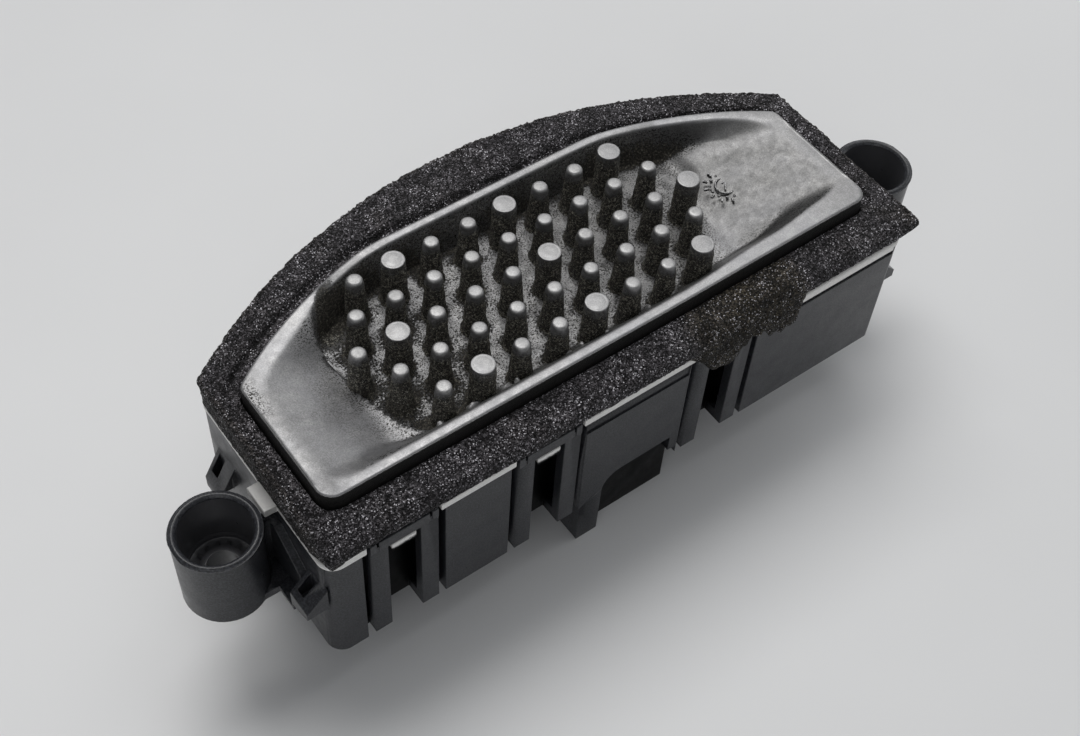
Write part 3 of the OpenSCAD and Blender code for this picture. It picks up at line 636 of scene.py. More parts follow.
    # painted shadow inside the pit's back-left edge, laid on as dark film
    pocket = np.exp(-(((x + 31.5) / 3.4) ** 2 + ((y - 9.0) / 4.6) ** 2)) * in_pit
    tarnish_and_shade = np.maximum(tarnish_and_shade, 0.9 * pocket)
    tarnish_and_shade = np.maximum(tarnish_and_shade, in_pit * (0.22 * ring + 0.10 * sstep(0.3, -0.4, low)))
    z += in_pit * (0.05 * low + 0.07 * foot_f * (1 + fbm(p3, 1.1, 9)) + 0.05 * vnoise(p3, 0.9, 4))
    # painted shade: the right ramp is darkened, in soft bands along the back arc; the pit's floor is darkened too
    bands = 0.12 * np.cos((back - 5.2) * 1.25) * np.exp(-((back - 5.0) / 7.0) ** 2)
    streak = 0.05 * vnoise(np.column_stack([x * 0.12, back, np.zeros(len(p))]), 0.9, 91)
    shade = (1 - in_pit) * sstep(24, 31, x) * (0.78 - bands + streak)
    # painted shade in the fold along the right ramp's front
    shade += (1 - in_pit) * 0.42 * np.exp(-(((front - 3.4) / 2.6) ** 2)) * sstep(45.5, 40, x) * sstep(26, 34, x)
    shade = np.where(right < 2.6, np.minimum(shade, 0.34 + 0.44 * sstep(1.2, 2.6, right)), shade)
    shade = shade * sstep(0.05, 0.5, depth) + 0.30 * sstep(0.5, 0.05, depth) * sstep(36, 46, x)
    shade += in_pit * (0.50 + 0.20 * sstep(-6, 10, x))
    # painted shade on the rim's left land and its front-left corner
    shade += 0.30 * np.exp(-(((left - 1.5) / 3.2) ** 2 + ((front - 1.5) / 3.6) ** 2)) + 0.34 * np.exp(-(((left - 2.0) / 2.4) ** 2))
    return z, grime_and_shade, tarnish_and_shade, np.clip(shade, 0, 1)


def tray(b):
    """Rim and dished tray as one closed shell of nested rings."""
    profile = [(0.0, 33.2), (0.0, 34.5), (0.01, 36.0), (0.01, 37.6), (0.02, 39.0), (0.02, 40.0),
               (0.02, 40.7), (0.04, 40.95), (0.10, 41.13), (0.19, 41.25), (0.31, 41.33)]
    rings, grime_and_shade, tarnish_and_shade, shade = [], [], [], []
    for d, z in profile:
        r = rim_ring(d)
        rings.append(np.column_stack([r, np.full(len(r), z)]))
        # the rim's outer wall is near black, painted shade with some dirt; the rim's ends get painted shade too
        grime_and_shade.append(np.full(len(r), -0.02 if z < 40.9 else 0.0 if z < 41.2 else 0.03))
        shade.append(0.30 * sstep(36, 46, r[:, 0]) + 0.3 * sstep(-46, -48, r[:, 0]))
        tarnish_and_shade.append(np.full(len(r), 1.0 if z < 41.0 else 0.55 if z < 41.2 else 0.0))
    for d in (0.46, 0.64, 0.84, 1.04, 1.24, 1.42, 1.58, 1.74, 1.92, 2.12, 2.34):
        r = rim_ring(d)
        z, g, t, h = tray_height(r)
        rings.append(np.column_stack([r, z]))
        grime_and_shade.append(g)
        tarnish_and_shade.append(t)
        shade.append(h)
    outer = rings[-1][:, :2]
    core = np.column_stack([np.clip(outer[:, 0], -38.5, 38.5) * 0.97, np.full(len(outer), -3.0)])
    steps = 58
    for k in range(1, steps + 1):
        q = outer + (core - outer) * (k / steps)
        z, g, t, h = tray_height(q)
        rings.append(np.column_stack([q, z]))
        grime_and_shade.append(g)
        tarnish_and_shade.append(t)
        shade.append(h)
    g3 = np.array(rings)
    rows, cols = g3.shape[:2]
    b.add(g3.reshape(-1, 3), grid_faces(rows, cols), 0, np.array(grime_and_shade).reshape(-1),
          np.array(tarnish_and_shade).reshape(-1), np.array(shade).reshape(-1))
    # flat underside of the shell, hidden in the casting
    b.add(g3[0], [tuple(range(cols - 1, -1, -1))], 0, 0.4)


def pin(b, cx, cy, post, k):
    seed = 100 + k
    r = np.random.default_rng(seed)
    segs = 42
    if post:
        prof = [(0.001, 43.8), (0.55, 43.8), (1.30, 43.797), (1.35, 43.785), (1.40, 43.797), (1.60, 43.79),
                (1.70, 43.75), (1.735, 43.66), (1.745, 43.5)]
        top, r0, r1 = 43.3, 1.75, 2.0
    else:
        s = r.uniform(0.97, 1.04)
        top = 42.6 + r.uniform(-0.1, 0.1)
        h = 43.8 - r.uniform(0.0, 0.12)
        prof = [(0.001, h), (0.55, h - 0.006), (0.84, h - 0.03), (0.99, h - 0.08), (1.10, h - 0.18),
                (1.18 * s, h - 0.36), (1.23 * s, h - 0.70)]
        r0, r1 = 1.26 * s, 1.88
    foot = PIT_Z - 0.35
    for t in np.linspace(0, 1, 26):
        z = top + (foot - top) * t
        rad = r0 + (r1 - r0) * t
        if z < PIT_Z + 0.55:
            q = min(1.0, max(0.0, (PIT_Z + 0.55 - z) / 0.55))
            rad += 0.38 * (1 - math.sqrt(max(0.0, 1 - q * q)))
        prof.append((rad, z))
    g = lathe(prof, cx, cy, segs)
    p = g.reshape(-1, 3)
    n = grid_normals(g).reshape(-1, 3)
    side = sstep(43.2, 42.5, p[:, 2]) if not post else sstep(43.55, 43.35, p[:, 2])
    streak = vnoise(p * np.array([1, 1, 0.25]), 0.7, seed)
    rough = vnoise(p, 0.42, seed + 1)
    chips = sstep(0.35, 0.75, vnoise(p, 0.8, seed + 2))
    p = p + n * (side * (0.06 * streak + 0.09 * rough + 0.12 * chips - 0.04))[:, None]
    low_dirt = sstep(39.0, 36.0, p[:, 2])
    left = sstep(6, -30, cx)
    # the worn cap is bright, and its edge is ragged
    ragged = 0.22 * vnoise(p, 0.8, seed + 3)
    if post:
        film_and_shade = sstep(43.6, 43.45, p[:, 2]) * (0.66 + 0.34 * sstep(43.2, 40.6, p[:, 2] + ragged))
    else:
        film_and_shade = 0.45 * sstep(43.50, 42.95, p[:, 2] + ragged) + 0.55 * sstep(43.1, 41.2, p[:, 2] + 2 * ragged)
    grime_and_shade = film_and_shade * (0.20 + 0.12 * low_dirt + 0.10 * streak + 0.14 * left) - (1 - film_and_shade) * (0.04 if post else 0.09)
    faces = grid_faces(len(prof), segs, flip=False)
    cover = 0.74 + 0.10 * streak - 0.12 * low_dirt * (1 - left)
    b.add(p, faces, 0, grime_and_shade, film_and_shade * cover, (1 - film_and_shade) * (0.34 if post else 0.46) + film_and_shade * 0.45)
    b.add(p[-segs:], [tuple(range(segs - 1, -1, -1))], 0, 0.6)


def crumbs(b):
    """Bright ragged smears of metal left in the fold in front of the first row of pins."""
    spots = [(-27.6, 1.5), (-22.4, 2.2), (-16.6, 1.9), (-14.9, 0.9), (-6.2, 1.8), (-3.5, 0.8), (0.2, 2.0),
             (6.4, 1.6), (8.8, 1.0), (13.4, 1.7)]
    for k, (cx, long) in enumerate(spots):
        r = np.random.default_rng(300 + k)
        cy = -15.75 + r.uniform(-0.25, 0.25)
        z = float(tray_height(np.array([[cx, cy]]))[0][0])
        g = lathe([(0.001, 1.0), (0.45, 0.86), (0.8, 0.5), (0.98, 0.1), (1.0, -0.4)], 0, 0, 20)
        q = g.reshape(-1, 3)
        wob = 1 + 0.28 * vnoise(q + 9.0 * k, 0.6, 310)
        q = q * np.array([long / 2, 0.52, 0.70]) * wob[:, None]
        turn = r.uniform(-0.15, 0.15)
        q = np.column_stack([cx + q[:, 0] * math.cos(turn) - q[:, 1] * math.sin(turn),
                             cy + q[:, 0] * math.sin(turn) + q[:, 1] * math.cos(turn), z + q[:, 2]])
        b.add(q, grid_faces(5, 20), 0, -0.20 + 0.2 * np.abs(vnoise(q, 0.4, 320)))
        b.add(q[-20:], [tuple(range(19, -1, -1))], 0, 0.3)


def bar(b, cx, cy, angle, length, width, z0, z1, grime_and_shade=0.3):
    """A small raised bar with chamfered edges."""
    c, s = math.cos(angle), math.sin(angle)
    rings = []
    for f, z in ((1.0, z0), (0.96, z0 + (z1 - z0) * 0.5), (0.72, z1)):
        pts = [(-length / 2, -width / 2 * f), (length / 2, -width / 2 * f),
               (length / 2, width / 2 * f), (-length / 2, width / 2 * f)]
        rings.append([(cx + u * c - v * s, cy + u * s + v * c, z) for u, v in pts])
    v = [p for r in rings for p in r]
    f = list(grid_faces(3, 4)) + [(8, 9, 10, 11), (3, 2, 1, 0)]
    b.add(v, f, 0, grime_and_shade)


def dial(b, cx, cy, z):
    """A plain date dial, as die castings carry: a ring of ticks and dots round a stub with an arrow."""
    for k in range(12):
        a = math.radians(30 * k + 12)
        bar(b, cx + 3.15 * math.cos(a), cy + 3.15 * math.sin(a), a, 0.74, 0.34, z - 0.15, z + 0.20)
    for k in range(12):
        a = math.radians(30 * k + 27)
        g = lathe([(0.001, z + 0.17), (0.13, z + 0.15), (0.22, z + 0.08), (0.27, z - 0.15)],
                  cx + 2.4 * math.cos(a), cy + 2.4 * math.sin(a), 10)
        b.add(g.reshape(-1, 3), grid_faces(4, 10), 0, 0.25)
    prof = [(1.42, z - 0.15), (1.45, z + 0.06), (1.53, z + 0.15), (1.66, z + 0.15), (1.74, z + 0.06), (1.77, z - 0.15)]
    g = lathe(prof, cx, cy, 40)
    b.add(g.reshape(-1, 3), grid_faces(6, 40, flip=True), 0, 0.25)
    bar(b, cx, cy, 0.9, 1.9, 0.30, z - 0.15, z + 0.16)
    for s in (-1, 1):
        bar(b, cx + 0.70 * math.cos(0.9) - s * 0.25 * math.sin(0.9),
            cy + 0.70 * math.sin(0.9) + s * 0.25 * math.cos(0.9), 0.9 - s * 0.75, 0.70, 0.26,
            z - 0.15, z + 0.16)


def cad_copy(node, name, keep_below=None, bevel=0.15, min_edge=0.7, skip=None, angle=32):
    """A copy of a CAD node's mesh in millimetres, cleaned to flat polygons, with its edges rounded."""
    bm = bmesh.new()
    bm.from_mesh(nodes[node].data)
    bmesh.ops.scale(bm, vec=(1000, 1000, 1000), verts=bm.verts)
    bmesh.ops.remove_doubles(bm, verts=bm.verts, dist=0.002)
    if keep_below is not None:
        geom = bm.verts[:] + bm.edges[:] + bm.faces[:]
        bmesh.ops.bisect_plane(bm, geom=geom, dist=1e-4, plane_co=(0, 0, keep_below),
                               plane_no=(0, 0, 1), clear_outer=True)
        open_edges = [e for e in bm.edges if len(e.link_faces) == 1]
        bmesh.ops.triangle_fill(bm, use_beauty=True, use_dissolve=False, edges=open_edges)
    bmesh.ops.dissolve_limit(bm, angle_limit=math.radians(0.6), use_dissolve_boundaries=False,
                             verts=bm.verts, edges=bm.edges, delimit={"NORMAL"})
    bmesh.ops.dissolve_degenerate(bm, dist=0.004, edges=bm.edges)
    bm.normal_update()
    if bevel:
        limit = math.radians(angle)
        sharp = {e for e in bm.edges if len(e.link_faces) == 2 and e.calc_face_angle(0) > limit}
        chosen = []
        for e in sharp:
            if e.calc_length() < min_edge:
                continue
            if skip and any(skip(v.co) for v in e.verts):
                continue
            ok = True
            for v in e.verts:
                for o in v.link_edges:
                    if o is not e and o.calc_length() < bevel * 2.6 and o in sharp:
                        ok = False
            if ok:
                chosen.append(e)
        bmesh.ops.bevel(bm, geom=chosen, offset=bevel, offset_type="OFFSET", segments=2, profile=0.5,
                        affect="EDGES", clamp_overlap=False, harden_normals=False)
    return bm


def object_from(bm, name, material, attribute=None, value=None, angle=38):
    """Makes the object; value is a function of the points, in millimetres, for the attribute."""
    bmesh.ops.triangulate(bm, faces=[f for f in bm.faces if len(f.verts) > 4])
    for v in bm.verts:
        v.co.x = max(-66.6, min(66.6, v.co.x))
    points = np.array([v.co[:] for v in bm.verts])
    bmesh.ops.scale(bm, vec=(MM, MM, MM), verts=bm.verts)
    me = bpy.data.meshes.new(name)
    bm.to_mesh(me)
    bm.free()
    me.materials.append(material)
    me.polygons.foreach_set("use_smooth", [True] * len(me.polygons))
    if attribute:
        a = me.attributes.new(attribute, "FLOAT", "POINT")
        a.data.foreach_set("value", value(points).astype(np.float32))
    me.update()
    me.set_sharp_from_angle(angle=math.radians(angle))
    o = bpy.data.objects.new(name, me)
    bpy.context.scene.collection.objects.link(o)
    w = o.modifiers.new("weighted", "WEIGHTED_NORMAL")
    w.keep_sharp = True
    w.weight = 60
    return o


# casting: flange, lugs and feet from the CAD node, tray and pins modelled here
b = Builder()
tray(b)
crumbs(b)
pins = Builder()
for k, (cx, cy, post) in enumerate(PINS):
    pin(pins, cx, cy, post, k)
dial(b, 34.2, -3.0, float(tray_height(np.array([[34.2, -3.0]]))[0][0]))
pin_part = pins.finish("heat_sink_pins", [MAT_CAST], ("grime_and_shade", "tarnish_and_shade", "shade"), 45)
top_part = b.finish("heat_sink_casting", [MAT_CAST], ("grime_and_shade", "tarnish_and_shade", "shade"), 45)


def strip_shade_values(p):
    """Painted shade: near black on what lies under the flange, fading up the lugs; the tabs and the bared top of the
    flange are darker."""
    dark = p[:, 2] < 28.0
    lug = (p[:, 2] >= 28.0) & (p[:, 2] < 29.6)
    shaded_top = (p[:, 0] < -51.9) | (p[:, 0] > 53.0) | ((p[:, 2] > 33.3) & (p[:, 1] > -24.3))
    return np.where(dark, 1.2, np.where(lug, 0.80, np.where(shaded_top, -0.62, 0.10)))


base_part = object_from(cad_copy("heat_sink", "flange", keep_below=33.55, bevel=0.18), "flange_part",
                        MAT_STRIP, "film_and_shade", strip_shade_values)
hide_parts("heat_sink")
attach(pin_part, "root")
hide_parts("heat_sink")
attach(top_part, "root")
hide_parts("heat_sink")
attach(base_part, "root")
base_part.name = "heat_sink_flange"

# housing: the CAD node's shape with moulded, rounded edges
HOLE = 60.35


def at_guides(co):
    """On the right end wall, where the rib and the guides stand out only a little."""
    from_hole = math.hypot(co.x - HOLE, co.y + 10.4)
    return co.x > 51.6 and from_hole > 6.6 and -24.3 < co.y < 7.0 and 17.0 < co.z < 30.5


def in_sleeve(co):
    """Keeps edges crisp in the sleeves and at the right end's guides."""
    return math.hypot(abs(co.x) - HOLE, co.y + 10.4) < 4.3 or at_guides(co)


def in_alcove(p):
    """Marks the points inside the latch windows, the slots and the plug sockets, which see little light, for painted
    shade.
    """
    deep = np.zeros(len(p))
    for cx in (-39.55, -15.1, 17.3):
        here = (np.abs(p[:, 0] - cx) < 7.0) & (p[:, 1] > -22.75) & (p[:, 1] < -19.4) & (p[:, 2] > 9.3)
        deep = np.where(here, 1.0, deep)
    for angle in (-20, 20):
        a = math.radians(angle + 180)
        rel = p[:, :2] - np.array([0, -61.2])
        u = rel[:, 0] * math.cos(a) + rel[:, 1] * math.sin(a)
        v = -rel[:, 0] * math.sin(a) + rel[:, 1] * math.cos(a)
        here = (np.abs(u) < 7.0) & (v > -84.75) & (v < -81.4) & (p[:, 2] > 9.3)
        deep = np.where(here, 1.0, deep)
    # painted shade on the rebate under the flange, and the plug's front
    here = (p[:, 0] > 27.0) & (p[:, 1] > -24.1) & (p[:, 1] < -23.3) & (p[:, 2] > 30.1)
    deep = np.where(here, 1.0, deep)
    here = (p[:, 0] > -8.6) & (p[:, 0] < 10.7) & (p[:, 1] > -22.75) & (p[:, 1] < -22.2) & (p[:, 2] < 16.5)
    deep = np.where(here, 1.0, deep)
    # painted light in the screw sleeves: a paler colour and stronger reflections
    bore = (np.hypot(np.abs(p[:, 0]) - HOLE, p[:, 1] + 10.4) < 5.3) & (p[:, 2] < 32.3) & (p[:, 2] > 19.0)
    return np.where(bore, -0.85, deep)


shell = object_from(cad_copy("housing", "housing", bevel=0.16, skip=in_sleeve), "housing_shell",
                    MAT_PLASTIC, "deep", in_alcove)
beside = {}
for poly in shell.data.polygons:
    for key in poly.edge_keys:
        beside.setdefault(key, []).append(poly.normal.copy())
for edge in shell.data.edges:
    pair = beside.get(edge.key, ())
    ends = [shell.data.vertices[i].co * 1000 for i in edge.vertices]
    if len(pair) == 2 and pair[0].angle(pair[1], 0.0) > 0.05 and at_guides((ends[0] + ends[1]) / 2):
        edge.use_edge_sharp = True
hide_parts("housing")
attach(shell, "root")

# ---- foam -----------------------------------------------------------------

BOW_C, BOW_R = -61.2, 87.15
FOAM_L, FOAM_R, FOAM_F = -51.95, 54.0, -25.85


def foam():
    inner = rim_ring(-0.3, n_front=330, n_corner=44, n_side=66, n_back_corner=22, n_back=360)
    nrm = ring_normals(inner)
    for _ in range(8):
        nrm = (np.roll(nrm, 1, 0) + 2 * nrm + np.roll(nrm, -1, 0)) / 4
        nrm /= np.linalg.norm(nrm, axis=1, keepdims=True)
    big = np.full(len(inner), 1e3)
    nx, ny = nrm[:, 0], nrm[:, 1]
    with np.errstate(divide="ignore", invalid="ignore"):
        tf = np.where(ny < -1e-3, (FOAM_F - inner[:, 1]) / ny, big)
        tl = np.where(nx < -1e-3, (FOAM_L - inner[:, 0]) / nx, big)
        tr = np.where(nx > 1e-3, (FOAM_R - inner[:, 0]) / nx, big)
    rel = inner - np.array([0, BOW_C])
    bq = (rel * nrm).sum(1)
    tc = -bq + np.sqrt(bq**2 + BOW_R**2 - (rel**2).sum(1))
    k = 26.0
    reach = ((tf**-k + tl**-k + tr**-k + tc**-k)) ** (-1 / k)
    front = sstep(0.55, 0.95, -ny)
    back = sstep(0.3, 0.9, ny)
    end_l, end_r = sstep(0.6, 0.95, -nx), sstep(0.6, 0.95, nx)
    px, py = inner[:, 0], inner[:, 1]
    outx, outy = px + nx * reach, py + ny * reach
    # torn corner that hangs over at the right end of the front
    corner = np.exp(-(((outx - 53.6) / 3.4) ** 2 + ((outy + 25.4) / 3.6) ** 2))
    tip = np.exp(-(((outx - 53.6) / 1.3) ** 2 + ((outy + 25.6) / 1.3) ** 2))
    pull = np.column_stack([0.10 * corner + 0.5 * tip, -0.1 * corner])
    flap = sstep(50.4, 52.4, outx) * sstep(-22.0, -24.6, outy)
    # the left corner is worn back, so the flange shows round it
    worn = np.exp(-(((outx + 52.0) / 2.4) ** 2 + ((outy + 25.85) / 2.4) ** 2))
    reach = reach - 0.15 * worn
    near_left = np.exp(-(((outx + 52.0) / 5.5) ** 2)) * front
    # sag of the torn front edge, over the third latch
    knots_x = [9.6, 11.2, 12.8, 14.0, 17.6, 19.0, 20.3, 22.6, 24.5, 27.0, 30.0, 30.9, 31.4]
    knots_d = [0.0, 0.5, 2.6, 3.6, 3.9, 2.4, 1.0, 0.9, 2.3, 3.3, 3.4, 2.0, 0.0]
    sag = np.interp(outx, knots_x, knots_d, left=0, right=0) * front
    lump = sstep(8.5, 13.0, outx) * sstep(33.0, 29.5, outx) * front
    cols = len(inner)
    zb = 33.55
    n_in, n_top, n_arc, n_side = 6, 26, 12, 10
    rows = []
    part = []
    # inner wall, bottom to top
    shelf_w = 2.4 * back + 0.5 * front + 1.5 * (end_l + end_r)
    drop_in = 0.55 * back + 0.15 * front + 0.3 * (end_l + end_r)
    round_r = 0.9 + 1.5 * front + 0.15 * lump
    for f in np.linspace(0, 1, n_in):
        z = zb + (38.45 + 0.45 * (front + end_l) - drop_in - zb) * f
        rows.append(np.column_stack([inner, z]))
        part.append(0)
    t_flat = np.maximum(reach - round_r, 0.3)
    top_z = 38.6 + 0 * px

    def crown(t):
        """Height of the top across the ring, t from the rim wall."""
        u = np.clip(t / np.maximum(reach, 0.1), 0, 1)
        z = top_z - drop_in * sstep(shelf_w + 0.6, shelf_w - 0.3, t)
        z = z - (0.50 * back + 0.22 * (end_l + end_r) + 0.10 * front) * np.exp(-(((t - shelf_w - 0.15) / 0.42) ** 2))
        z = z + 0.10 * back * np.sin(np.pi * np.clip((t - shelf_w) / np.maximum(reach - shelf_w, 0.1), 0, 1))
        z = z - 0.45 * front * sstep(0.25, 1.0, u)
        z = z + 0.55 * lump * np.exp(-(((t - reach * 0.62) / 1.6) ** 2))
        z = z + 0.45 * (front + end_l) * np.exp(-((t / 1.5) ** 2))
        return z

    for f in np.linspace(0, 1, n_top + 1)[1:]:
        t = t_flat * f
        z = crown(t)
        z = np.where(t < 0.35, z - 0.12 * (1 - t / 0.35), z)
        rows.append(np.column_stack([inner + nrm * t[:, None], z]))
        part.append(1)
    z_end = crown(t_flat)
    for f in np.linspace(0, 1, n_arc + 1)[1:]:
        a = math.pi / 2 * (1 - f)
        t = t_flat + (reach - t_flat) * math.cos(a)
        z = z_end - round_r * (1 - math.sin(a))
        rows.append(np.column_stack([inner + nrm * t[:, None] + pull * f, z]))
        part.append(2)
    z_side = z_end - round_r
    lean = 1.80 * front * (1 - lump) * (1 - 0.5 * near_left) + 0.25 * (1 - front) - 0.25 * lump - 0.18 * end_l + 0.15 * worn
    lean = lean * (1 - 0.85 * flap)
    low = zb - sag + 2.8 * flap - 0.22 * end_l
    for f in np.linspace(0, 1, n_side + 1)[1:]:
        z = z_side + (low - z_side) * f
        t = reach - lean * f**1.2 - 0.18 * np.sin(math.pi * f) * (1 - lump) + 0.35 * lump * math.sin(math.pi * f)
        rows.append(np.column_stack([inner + nrm * t[:, None] + pull * (1 - 0.8 * f), z]))
        part.append(3)
    # underside: back up the wall where the foam sags, then in along the flange
    last = rows[-1]
    wall_t = np.minimum(reach - lean, np.where(ny < -0.2, (-24.5 - inner[:, 1]) / np.minimum(ny, -0.2), 1e3))
    wall_t = np.minimum(wall_t, np.where(nx > 0.2, (52.8 - inner[:, 0]) / np.maximum(nx, 0.2), 1e3))
    wall_t = np.minimum(wall_t, np.where(nx < -0.2, (-51.85 - inner[:, 0]) / np.minimum(nx, -0.2), 1e3))
    t_last = np.linalg.norm(last[:, :2] - inner, axis=1)
    wall_t = np.minimum(wall_t, t_last)
    rows.append(np.column_stack([inner + nrm * (0.6 * wall_t + 0.4 * t_last)[:, None], low - 0.12 * lump + 0.02]))
    part.append(4)
    rows.append(np.column_stack([inner + nrm * wall_t[:, None], low + 0.35 * lump]))
    part.append(4)
    rows.append(np.column_stack([inner + nrm * wall_t[:, None], np.full(cols, zb - 0.005)]))
    part.append(4)
    rows.append(np.column_stack([inner + nrm * (wall_t * 0.5)[:, None], np.full(cols, zb - 0.01)]))
    part.append(4)
    g = np.array(rows)
    part = np.array(part)
    n = grid_normals(np.concatenate([g, g[:1]]))[:-1]
    p = g.reshape(-1, 3)
    nn = n.reshape(-1, 3)
    kind = np.repeat(part, cols)
    lumpy = np.tile(lump, len(rows))
    at_front = np.tile(front, len(rows))
    at_corner = np.tile(np.clip(corner, 0, 1), len(rows))
    d1, c1 = cells(p, 0.62, 21)
    d2, _ = cells(p, 1.5, 31)
    amp = np.where(kind == 0, 0.35, np.where(kind == 4, 0.25, 1.0))
    rough = 0.16 * (0.55 - d1) * -1.0 + 0.05 * (c1 - 0.5) + 0.05 * (0.6 - d2)
    big_waves = 0.16 * fbm(p, 6.0, 41, 2)
    torn = lumpy * np.isin(kind, (2, 3)) * (0.30 * vnoise(p, 1.3, 51) + 0.16 * vnoise(p, 0.6, 52))
    torn += at_corner * np.isin(kind, (2, 3)) * (0.18 * vnoise(p, 0.9, 55))
    at_back = np.tile(np.clip(back + end_l + end_r, 0, 1), len(rows))
    fuzz = (np.where(np.isin(kind, (2, 3)), 0.10, 0.06) + 0.12 * at_back * (kind == 2)) * vnoise(p, 0.34, 61)
    p = p + nn * (amp * (rough + big_waves + fuzz) + torn)[:, None]
    # ragged lower edge
    edge = np.arange(len(rows)) >= len(rows) - 6
    rag = np.tile(sstep(0.3, 1.5, sag), len(rows)) * np.repeat(edge, cols)
    p[:, 2] += rag * (0.35 * vnoise(p, 0.8, 71) + 0.2 * vnoise(p, 0.4, 72))
    p[:, 2] = np.where(kind == 4, np.where(rag > 0.01, p[:, 2], np.maximum(p[:, 2], zb - 0.02)), p[:, 2])
    warm = np.clip(lumpy * 0.9 + at_corner * 0.4 + 0.45 * np.isin(kind, (3,)) + 0.35 * at_back * (kind == 2)
                   + 0.25 * fbm(p, 5.0, 81, 2), 0, 1)
    # the worn shelf beside the rim is paler, the crease beyond it darker as painted shade, and the ragged lump darker
    across = np.linalg.norm(p[:, :2] - np.tile(inner, (len(rows), 1)), axis=1)
    shelf = np.tile(shelf_w, len(rows))
    pale = at_back * (kind == 1) * (sstep(shelf, shelf - 0.5, across) - 0.9 * np.exp(-(((across - shelf - 0.2) / 0.45) ** 2)))
    pale = np.clip(pale - 0.25 * lumpy * np.isin(kind, (2, 3)), -1, 1)
    fb = Builder()
    closed = np.concatenate([grid_faces(len(rows), cols)])
    fb.add(p, closed, 0, warm, pale)
    # close the last ring onto the first
    r, c = len(rows) - 1, np.arange(cols)
    c2 = (c + 1) % cols
    ring = np.stack([r * cols + c, r * cols + c2, c2, c], 1)
    fb.f += [tuple(int(i) for i in q) for q in ring]
    fb.m += [0] * len(ring)
    return fb.finish("foam_gasket_soft", [MAT_FOAM], ("warm", "pale"), None)


foam_obj = foam()
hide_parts("foam_gasket")
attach(foam_obj, "root")

# ---- finishes of the CAD nodes that stay ----------------------------------


def paint(node, *materials):
    me = nodes[node].data
    me.materials.clear()
    for m in materials:
        me.materials.append(m)
    me.polygons.foreach_set("material_index", [0] * len(me.polygons))
    me.polygons.foreach_set("use_smooth", [True] * len(me.polygons))
    me.set_sharp_from_angle(angle=math.radians(35))


def paint_where(node, slot_index, test):
    """Gives the faces whose centre passes the test, in millimetres, another of the node's materials."""
    me = nodes[node].data
    for poly in me.polygons:
        if test(*(c / MM for c in poly.center)):
            poly.material_index = slot_index


def board_material():
    m = Mat("solder_mask")
    lines = m.voronoi(3.4, "DISTANCE_TO_EDGE", "Distance", random=0.35)
    trace = m.ramp(lines, (0.05, 1.0), (0.07, 0.0))
    weave = m.noise(0.4, 2.0, 0.5)
    base = m.mix(trace, (0.010, 0.085, 0.040), (0.030, 0.170, 0.075))
    base = m.mix(m.ramp(weave, (0.4, 0.0), (0.7, 0.3)), base, (0.02, 0.12, 0.05))
    n = m.bump(trace, 0.035, 0.6)
    return m.set(Base_Color=base, Roughness=0.38, Normal=n).m


def sheet_material():
    m = Mat("insulating_film")
    base = m.mix(m.noise(1.5, 3.0, 0.6), (0.42, 0.22, 0.07), (0.55, 0.33, 0.13))
    return m.set(Base_Color=base, Roughness=0.35, Normal=m.bump(m.noise(0.5), 0.01, 0.5)).m


def winding_material():
    m = Mat("enamelled_copper")
    base = m.mix(m.noise(0.9, 3.0, 0.6), (0.60, 0.22, 0.08), (0.80, 0.38, 0.18))
    return m.set(Base_Color=base, Roughness=0.28, Metallic=0.9, Normal=m.bump(m.noise(0.4), 0.01, 0.4)).m


TIN = clean_metal("tinned_metal", (0.72, 0.71, 0.69), 0.34)
STEEL = clean_metal("spring_steel", (0.52, 0.52, 0.52), 0.36)
ZINC = clean_metal("zinc_steel", (0.62, 0.60, 0.52), 0.40)
BRASS = clean_metal("tinned_brass", (0.74, 0.70, 0.60), 0.30, dirt=0.3)
SHUNT = clean_metal("shunt_alloy", (0.58, 0.50, 0.42), 0.42)
PACKAGE = plastic("package_epoxy", (0.014, 0.014, 0.015), 0.55, 0.2, 0.010, 0.1)
SLEEVE = plastic("capacitor_sleeve", (0.012, 0.013, 0.020), 0.32, 0.6, 0.006, 0.1)
FERRITE = plastic("ferrite", (0.035, 0.034, 0.034), 0.60, 0.25, 0.02, 0.2)
BEAD = plastic("ceramic_bead", (0.090, 0.040, 0.018), 0.35, 0.4, 0.01, 0.1)
CERAMIC = plastic("ceramic", (0.42, 0.29, 0.17), 0.45, 0.2, 0.01, 0.1)
FILM = plastic("resistor_film", (0.016, 0.016, 0.018), 0.30, 0.2, 0.006, 0.1)

paint("circuit_board", board_material())
paint("insulating_sheet", sheet_material())
for name in ("transistor_left", "transistor_right", "freewheel_diode"):
    paint(name, PACKAGE, TIN)
    paint_where(name, 1, lambda x, y, z: z > 30.44 or y < -6.05 or y > 3.25)
paint("clamp_bar", STEEL)
paint("clamp_screws", ZINC)
paint("board_screws", ZINC)
for name in ("capacitor_left", "capacitor_right"):
    paint(name, SLEEVE, TIN)
paint_where("capacitor_left", 1, lambda x, y, z: y < -12.83)
paint_where("capacitor_right", 1, lambda x, y, z: y > 8.83)
paint("choke_core", FERRITE)
paint("choke_winding", winding_material())
paint("shunt_strip", SHUNT)
for name, w in (("control_chip", 3.9), ("driver_chip", 3.9)):
    paint(name, PACKAGE, TIN)
    paint_where(name, 1, lambda x, y, z: abs(y + 14.2) > 1.97)
paint("suppressor_diode", PACKAGE, TIN)
paint_where("suppressor_diode", 1, lambda x, y, z: z > 22.3 or x < -17.52 or x > -10.68)
paint("temperature_sensor", BEAD, TIN)
paint_where("temperature_sensor", 1, lambda x, y, z: z < 30.4)
paint("ceramic_capacitors", CERAMIC)
paint("chip_resistors", FILM)
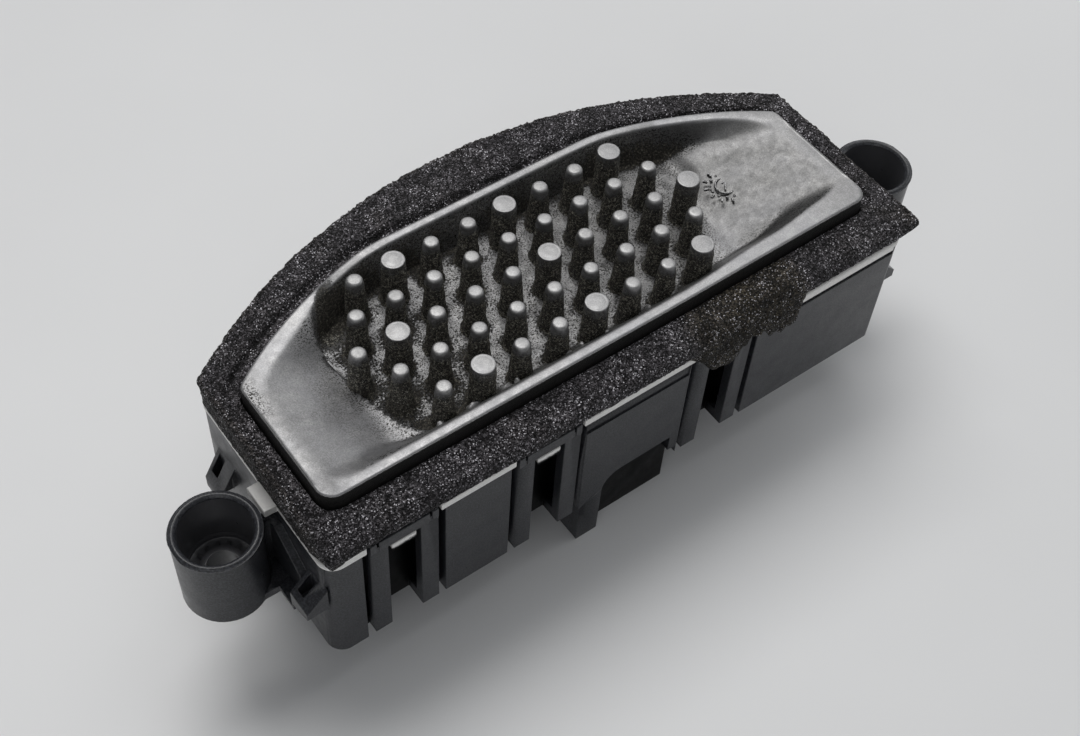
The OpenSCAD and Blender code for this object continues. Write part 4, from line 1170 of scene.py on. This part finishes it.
for name in ("supply_blade", "ground_blade", "motor_blade_plus", "motor_blade_minus", "signal_pins"):
    paint(name, BRASS)

# ---- floor, light and camera ----------------------------------------------


def floor():
    me = bpy.data.meshes.new("floor")
    s = 1.6
    me.from_pydata([(-s, -s, -0.00005), (s, -s, -0.00005), (s, s, -0.00005), (-s, s, -0.00005)], [], [(0, 1, 2, 3)])
    m = Mat("pale_table")
    base = m.mix(m.noise(60.0, 3.0, 0.5), (0.70, 0.705, 0.71), (0.76, 0.765, 0.77))
    m.set(Base_Color=base, Roughness=0.42)
    me.materials.append(m.m)
    o = bpy.data.objects.new("floor", me)
    bpy.context.scene.collection.objects.link(o)


floor()


def area(name, location, target, size, power, colour=(1, 1, 1)):
    d = bpy.data.lights.new(name, "AREA")
    d.shape = "RECTANGLE"
    d.size, d.size_y = size
    d.energy = power
    d.color = colour
    o = bpy.data.objects.new(name, d)
    bpy.context.scene.collection.objects.link(o)
    o.location = location
    o.rotation_mode = "QUATERNION"
    o.rotation_quaternion = (Vector(target) - Vector(location)).to_track_quat("-Z", "Y")
    return o


area("key", (0.12, 0.62, 1.36), (0, 0, 0.02), (0.95, 0.85), 11.6, (1.0, 0.99, 0.98))
area("top", (0.62, 0.10, 1.36), (0, 0, 0.02), (0.80, 0.80), 2.4, (0.98, 0.99, 1.0))
area("fill", (-1.05, -0.95, 1.10), (0, 0, 0.02), (0.8, 0.8), 2.4, (0.98, 0.99, 1.0))
area("low", (1.25, -0.45, 0.34), (0, 0, 0.03), (1.0, 0.5), 1.7, (0.97, 0.98, 1.0))
area("side", (1.30, 0.75, 0.50), (0, 0, 0.03), (1.0, 0.5), 2.6, (0.98, 0.99, 1.0))

world = bpy.data.worlds.new("studio")
bpy.context.scene.world = world
world.use_nodes = True
wt = world.node_tree
bg = wt.nodes["Background"]
tc = wt.nodes.new("ShaderNodeTexCoord")
sep = wt.nodes.new("ShaderNodeSeparateXYZ")
wt.links.new(tc.outputs["Generated"], sep.inputs[0])
ramp = wt.nodes.new("ShaderNodeValToRGB")
wt.links.new(sep.outputs["Z"], ramp.inputs["Fac"])
ramp.color_ramp.elements[0].position = 0.0
ramp.color_ramp.elements[0].color = (0.07, 0.07, 0.074, 1)
ramp.color_ramp.elements[1].position = 1.0
ramp.color_ramp.elements[1].color = (0.29, 0.295, 0.30, 1)
wt.links.new(ramp.outputs["Color"], bg.inputs["Color"])
bg.inputs["Strength"].default_value = 1.0

scene = bpy.context.scene
scene.view_settings.view_transform = "Standard"
scene.view_settings.look = "None"
scene.view_settings.exposure = 0.0
scene.view_settings.gamma = 1.0

cam_data = bpy.data.cameras.new("camera")
cam_data.lens = 52.236
cam_data.sensor_width = 36.0
cam_data.clip_start, cam_data.clip_end = 0.01, 10.0
cam = bpy.data.objects.new("camera", cam_data)
scene.collection.objects.link(cam)
x_axis = Vector((0.8065393, -0.5893459, 0.0465382))
y_axis = Vector((0.4496968, 0.6627113, 0.5988209))
z_axis = Vector((-0.3837541, -0.4620445, 0.7995297))
rot = Matrix((x_axis, y_axis, z_axis)).transposed()
cam.rotation_mode = "QUATERNION"
cam.rotation_quaternion = rot.to_quaternion()
cam.location = (-0.0957216, -0.1178020, 0.2142654)
scene.camera = cam

bpy.context.view_layer.update()
